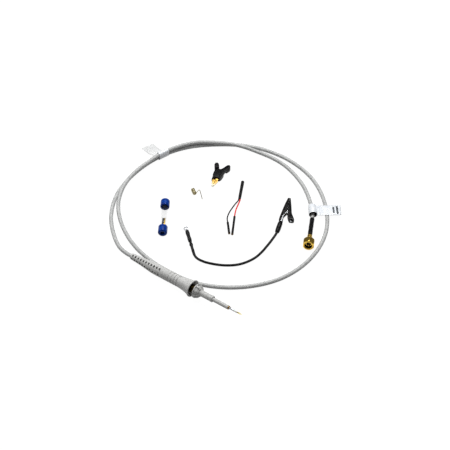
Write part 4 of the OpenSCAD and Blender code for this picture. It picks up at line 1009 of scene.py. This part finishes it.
def ground_spring():
    """The ground spring: a helix, radius 1.3 and pitch 0.7, that runs out into a bent leg."""
    wire_r, coil_r, pitch, turns = 0.275, 1.3, 0.7, 7
    line = Line((-50.6, 25.9, coil_r + wire_r), heading(-32.9))
    a = np.linspace(0, TURN * turns, 24 * turns + 1)
    coil = np.stack([a / TURN * pitch, coil_r * np.cos(a), coil_r * np.sin(a)], axis=1)
    leg = np.array([(0.3, 1.5, 0.8), (0.5, 2.05, 1.9), (0.75, 2.8, 3), (1.15, 3.4, 3.7), (1.8, 3.7, 3.3),
                    (3.2, 3.85, 1.9), (6.6, 3.9, -1.3)])
    leg[:, 0] += turns * pitch
    bent = smooth(np.vstack([coil[-1:], leg]), 8)
    path = line.place(np.vstack([coil[:-1], bent]))
    wire = tube(path, wire_r, 12, line.directions[0])
    return piece("spring_wire", [wire], ["ground_spring"], SPRING_STEEL)


# ---- Mini clip ----------------------------------------------------------------------------


def mini_half(name, side, node):
    """One half of the mini clip: its layer of the body and a thicker finger pad with grip ribs."""
    thick, layer = 4.4, 2.15
    low = 0.0 if side < 0 else thick - layer
    pad = [(-2.36, 1.51), (-6.36, 3.31), (-7.45, 4.6), (-7.0, 6.0), (-4.84, 6.69), (-0.84, 4.89)]
    body = [(-0.6, -0.8), (-0.6, 0.2), *pad, (3, 4.2), (7.5, 3.8), (10.8, 3.4), (10.8, 2.2), (9.6, 2.0),
            (9.4, 0), (9.4, -2.4), (7.5, -3.6), (3, -4), (-1.3, -2.4)]
    flip = np.array([1, side])
    sheets = [plate(MINI_CLIP, np.array(body) * flip, low, low + layer, 0.35, 0.9),
              plate(MINI_CLIP, np.array(pad) * flip, 0.15, thick - 0.15, 0.5, 1.0)]
    out = unit([-4.0, 1.8])
    across = np.array([-out[1], out[0]])
    for distance in (0.4, 1.5, 2.6, 3.7, 4.8):
        middle = np.array([-2.0, 3.35]) + distance * out
        half = 1.45 if distance < 4 else 1.1
        corners = [middle - half * across - 0.26 * out, middle + half * across - 0.26 * out,
                   middle + half * across + 0.26 * out, middle - half * across + 0.26 * out]
        sheets.append(plate(MINI_CLIP, np.array(corners) * flip, 0.0, thick, 0.14, 0.2))
    return piece(name, sheets, [node], NYLON)


def mini_jaw(name, side, node):
    """A stamped jaw: a blade that narrows to its tip, tinned there, with a lip bent up along its edge."""
    blade = [(10.9, 0.1), (10.9, 2.1), (12.4, 2.1), (16.8, 1.15), (18.2, 0.7), (18.2, 0.06), (13.8, 0.06)]
    flip = np.array([1, side])
    sheets = [plate(MINI_CLIP, np.array(blade) * flip, 1.55, 2.85, 0.12, 0.25),
              plate(MINI_CLIP, np.array([(8, 0.1), (11.3, 0.1), (11.3, 2.1), (8, 2.1)]) * flip,
                    *((1.2, 2.1) if side < 0 else (2.3, 3.2)), 0.1, 0.2)]
    for sheet in sheets:
        forward = (sheet.points - MINI_CLIP.start) @ MINI_CLIP.directions[0]
        sheet.marks["tinned"] = np.clip((forward - 14.0) / 2.0, 0, 1)
    return piece(name, sheets, [node], JAW_GOLD)


# ---- Y lead -------------------------------------------------------------------------------


def y_lead():
    """The adapter sleeve with its socket, and the sleeves and pin sockets at the ends of the two wires."""

    def shrunk(station, angle):
        """Wider over the socket, drawn in over the wires, and slightly uneven."""
        uneven = 0.03 * np.sin(2 * angle + 0.9 * station)
        return uneven * (station > 0.4) * (station < ADAPTER_LEN - 0.4)

    adapter = lathed("adapter_sleeve", ADAPTER,
                     [(0, 0.84), (0, 1.2), (0.3, 1.29), (6.5, 1.28), (7.2, 1.18), (11, 1.22), (16, 1.16),
                      (ADAPTER_LEN - 0.4, 1.1), (ADAPTER_LEN, 0.95), (ADAPTER_LEN, 0.2), (6.4, 0.2),
                      (6.4, 0.84)],
                     "lead_adapter_sleeve", SHRINK_BLACK, 0.3, wobble=shrunk)
    socket = lathed("adapter_socket", ADAPTER,
                    [(0.3, 0.5), (0.3, 0.8), (6.3, 0.8), (6.3, 0.1), (6, 0.1), (6, 0.5)],
                    "lead_socket", GOLD, 0.05)
    ends = []
    for name, line, length in [("black", BLACK_END, 12.0), ("red", RED_END, 19.1)]:
        bore = length - 5.6
        sleeve = [(0, 0.6), (0, 0.82), (0.3, 0.88), (bore - 0.8, 0.84), (bore, 0.89), (length - 0.1, 0.89),
                  (length, 0.85), (length, 0.72), (bore, 0.72), (bore, 0.6)]
        contact = [(bore + 0.1, 0.42), (bore + 0.1, 0.7), (length - 0.15, 0.7), (length - 0.15, 0.42)]
        ends.append(lathed(f"{name}_end_sleeve", line, sleeve, "wire_end_sleeves", SHRINK_BLACK))
        ends.append(lathed(f"{name}_pin_socket", line, contact, "pin_sockets", WORN_GOLD, 0.05))
    return adapter, socket, ends


# ---- Ground lead --------------------------------------------------------------------------


def ring_terminal():
    """The ring terminal: a rounded ring, and a barrel that is pinched flat towards the ring."""
    a = np.arange(64) * TURN / 64
    wall = rounded([(1.25, 0), (1.8, 0), (1.8, 1.6), (1.25, 1.6)], 0.16)
    ring = np.stack([wall[:, :1] * np.cos(a), wall[:, :1] * np.sin(a), wall[:, 1:] + 0 * a], axis=-1)
    upright = Line((-28.4, -9.7, 0), heading(-38.4))
    stations = np.linspace(1.5, 6.5, 24)
    share = np.clip((stations - 1.5) / 2.2, 0, 1)[:, None]
    wide = 0.85 + 0.05 * share
    tall = 0.36 + (0.9 - 0.36) * share**2 * (3 - 2 * share)
    middle = 1.2 + (LUG.at(4)[2] - 1.2) * share
    tail = np.stack([stations[:, None] + 0 * a, wide * np.cos(a), middle + tall * np.sin(a)], axis=-1)
    return piece("tinned_ring",
                 [Sheet(upright.place(ring), True), Sheet(upright.place(tail), capped=True)],
                 ["ring_terminal"], TIN)


def lead_sleeves():
    """The ground lead's three sleeves. Each is a tube whose radius swells where something is under it."""
    bore = GROUND_WIRE_D / 2 + 0.05

    def sleeve(line, start, end, radius, swell):
        stations = np.linspace(start + 0.15, end - 0.15, 40)
        lip = 0.4 * bore + 0.6 * radius
        outline = [(start, bore), (start, lip)]
        outline += list(zip(stations, radius - 0.06 + swell(stations)))
        outline += [(end, lip), (end, bore)]

        def uneven(station, angle):
            return 0.04 * np.sin(2 * angle + 1.1 * station) * (station > start) * (station < end)

        return turned(line, outline, 0.12, wobble=uneven)

    def over_crimp(s):
        return -0.08 + 0.16 * np.exp(-(((s - 6.0) / 1.6) ** 2)) + 0.08 * np.exp(-(((s - 12) / 1.5) ** 2))

    def over_knot(s):
        return -0.1 + 0.3 * np.exp(-(((s - 18.0) / 1.1) ** 2))

    def over_clip_leg(s):
        near_end, far_end = (s - 1.4) / 0.9, (s - CLIP_SLEEVE_LEN) / 1.2
        return -0.5 * np.exp(-(near_end**2)) - 0.25 * np.exp(-(far_end**2))

    sleeves = {
        "crimp_sleeve_black": sleeve(LUG, 3.9, 14.8, 1.5, over_crimp),
        "splice_sleeve_black": sleeve(LUG, 16.2, 28.0, 1.2, over_knot),
        "clip_sleeve_black": sleeve(CLIP_SLEEVE, 1.4, CLIP_SLEEVE_LEN, CLIP_SLEEVE_R, over_clip_leg),
    }
    return [piece(name, [made], ["ground_lead_sleeves"], SHRINK_BLACK) for name, made in sleeves.items()]


def clip_boot(name, outer, mouth, node):
    """A dipped boot: a channel between the clip's outer edge and its mouth line. On each cross-section it
    runs from the mouth over the top, round the outer edge with a fillet, and back below; both ends draw in
    on a quarter circle."""
    tail, front = outer[0][0], outer[-1][0]
    forward = np.concatenate([
        tail + 1.6 * (1 - np.cos(np.linspace(0, np.pi / 2, 7))),
        np.linspace(tail + 2, front - 1.8, 44),
        front - 1.4 * (1 - np.sin(np.linspace(0, np.pi / 2, 7))),
    ])
    outer, mouth = np.array(outer, float), np.array(mouth, float)
    edge = np.interp(forward, outer[:, 0], outer[:, 1])
    inner = np.interp(forward, mouth[:, 0], mouth[:, 1])
    kernel = np.ones(5) / 5
    edge[2:-2] = np.convolve(edge, kernel, "valid")
    inner[2:-2] = np.convolve(inner, kernel, "valid")
    closing = np.minimum(
        np.sqrt(np.clip(1 - (np.clip(tail + 1.6 - forward, 0, None) / 1.6) ** 2, 0, 1)),
        np.sqrt(np.clip(1 - (np.clip(forward - front + 1.4, 0, None) / 1.4) ** 2, 0, 1)),
    )
    centre = (edge + inner) / 2
    edge = centre + (edge - centre) * (0.35 + 0.65 * closing)
    inner = centre + (inner - centre) * (0.35 + 0.65 * closing)
    half = (CLIP_MIDDLE - 0.02) * (0.3 + 0.7 * closing)
    width = np.abs(edge - inner)
    fillet = np.minimum(1.2, 0.6 * width)
    turn = np.linspace(0, np.pi / 2, 7)
    across = np.concatenate([
        np.linspace(0, 1, 8)[None, :-1] * (1 - fillet / width)[:, None],
        1 - (fillet / width)[:, None] * (1 - np.sin(turn)),
    ], axis=1)
    rise = np.concatenate([
        np.ones((len(forward), 7)),
        1 - (fillet / half)[:, None] * (1 - np.cos(turn)),
    ], axis=1)
    rise = np.clip(rise, 0, 1)
    across = np.concatenate([across, across[:, ::-1]], axis=1)
    rise = np.concatenate([rise, -rise[:, ::-1]], axis=1)
    side = inner[:, None] + (edge - inner)[:, None] * across
    height = CLIP_MIDDLE + half[:, None] * rise
    points = np.stack([forward[:, None] + 0 * side, side, height], axis=-1)
    return piece(name, [Sheet(CLIP.place(points), False, False)], [node], VINYL, wall=0.5)


def ground_clip():
    """The two boots of the ground clip; its steel stays as it is built."""
    fixed = clip_boot("wire_side_boot",
                      [(-10.8, 5.8), (-6.8, 5.4), (-0.5, 4.35), (7.4, 2.9), (12, 1.8), (14.5, 0.9)],
                      [(-10.8, 3.9), (-7.2, 3.4), (-5.3, 3.0), (-3.6, 2.2), (-2.6, 1.5), (-1.2, 0.7),
                       (0.3, 0.05), (14.5, 0.05)],
                      "clip_fixed_boot")
    moving = clip_boot("lever_side_boot",
                       [(-9.8, -5.8), (-8.8, -6.05), (-5.4, -4.8), (-2.3, -3.5), (0.4, -3.1), (6.4, -2.3),
                        (12, -1.35), (14.5, -0.8)],
                       [(-9.8, -2.5), (-5.9, -0.8), (-3.2, -0.2), (0, -0.05), (14.5, -0.05)],
                       "clip_moving_boot")
    return [fixed, moving]


# ---- Scene --------------------------------------------------------------------------------

make_camera()
cable = cord("cable_jacket", CABLE_ROUTE, CABLE_D, "probe_cable", JACKET)
black_wire = cord("black_lead_wire", BLACK_ROUTE, THIN_WIRE_D, "black_wire", BLACK_PVC)
red_wire = cord("red_lead_wire", RED_ROUTE, THIN_WIRE_D, "red_wire", RED_PVC)
ground_wire = cord("ground_lead_wire", GROUND_ROUTE, GROUND_WIRE_D, "ground_wire", BLACK_PVC)

flex_boot()
grip()
nose()
probe_front()
connector_pieces = [coupling_nut(), *connector(), *probe_end_label(), *connector_end_label()]
tip_vial()
ground_spring()
mini_half("mini_clip_lower_half", -1, "mini_clip_left")
mini_half("mini_clip_upper_half", 1, "mini_clip_right")
mini_jaw("gilt_jaw_left", -1, "mini_jaw_left")
mini_jaw("gilt_jaw_right", 1, "mini_jaw_right")
adapter, adapter_socket, wire_ends = y_lead()
ground_pieces = [ring_terminal(), *lead_sleeves(), *ground_clip()]

dress(["cable_braid", "snap_ring", "tip_spring", "mini_clip_pin", "mini_clip_spring", "clip_spring"],
      SPRING_STEEL)
dress(["clip_fixed_jaw", "clip_moving_jaw", "clip_pivot_pin"], ZINC_STEEL)
dress(["crimp_sleeve"], GOLD)
dress(["cable_dielectric", "barrel_dielectric"], PTFE)
# The insulator is painted black as the shade deep inside the nut
dress(["connector_insulator"], BLACK_TIP_AND_SHADE)
dress(["cable_core", "center_conductor"], COPPER)
dress(["circuit_board"], BOARD)
dress(["tip_resistor"], LACQUER)
dress(["chip_components"], CERAMIC)
dress(["trimmer_capacitor"], TRIMMER)

studio()
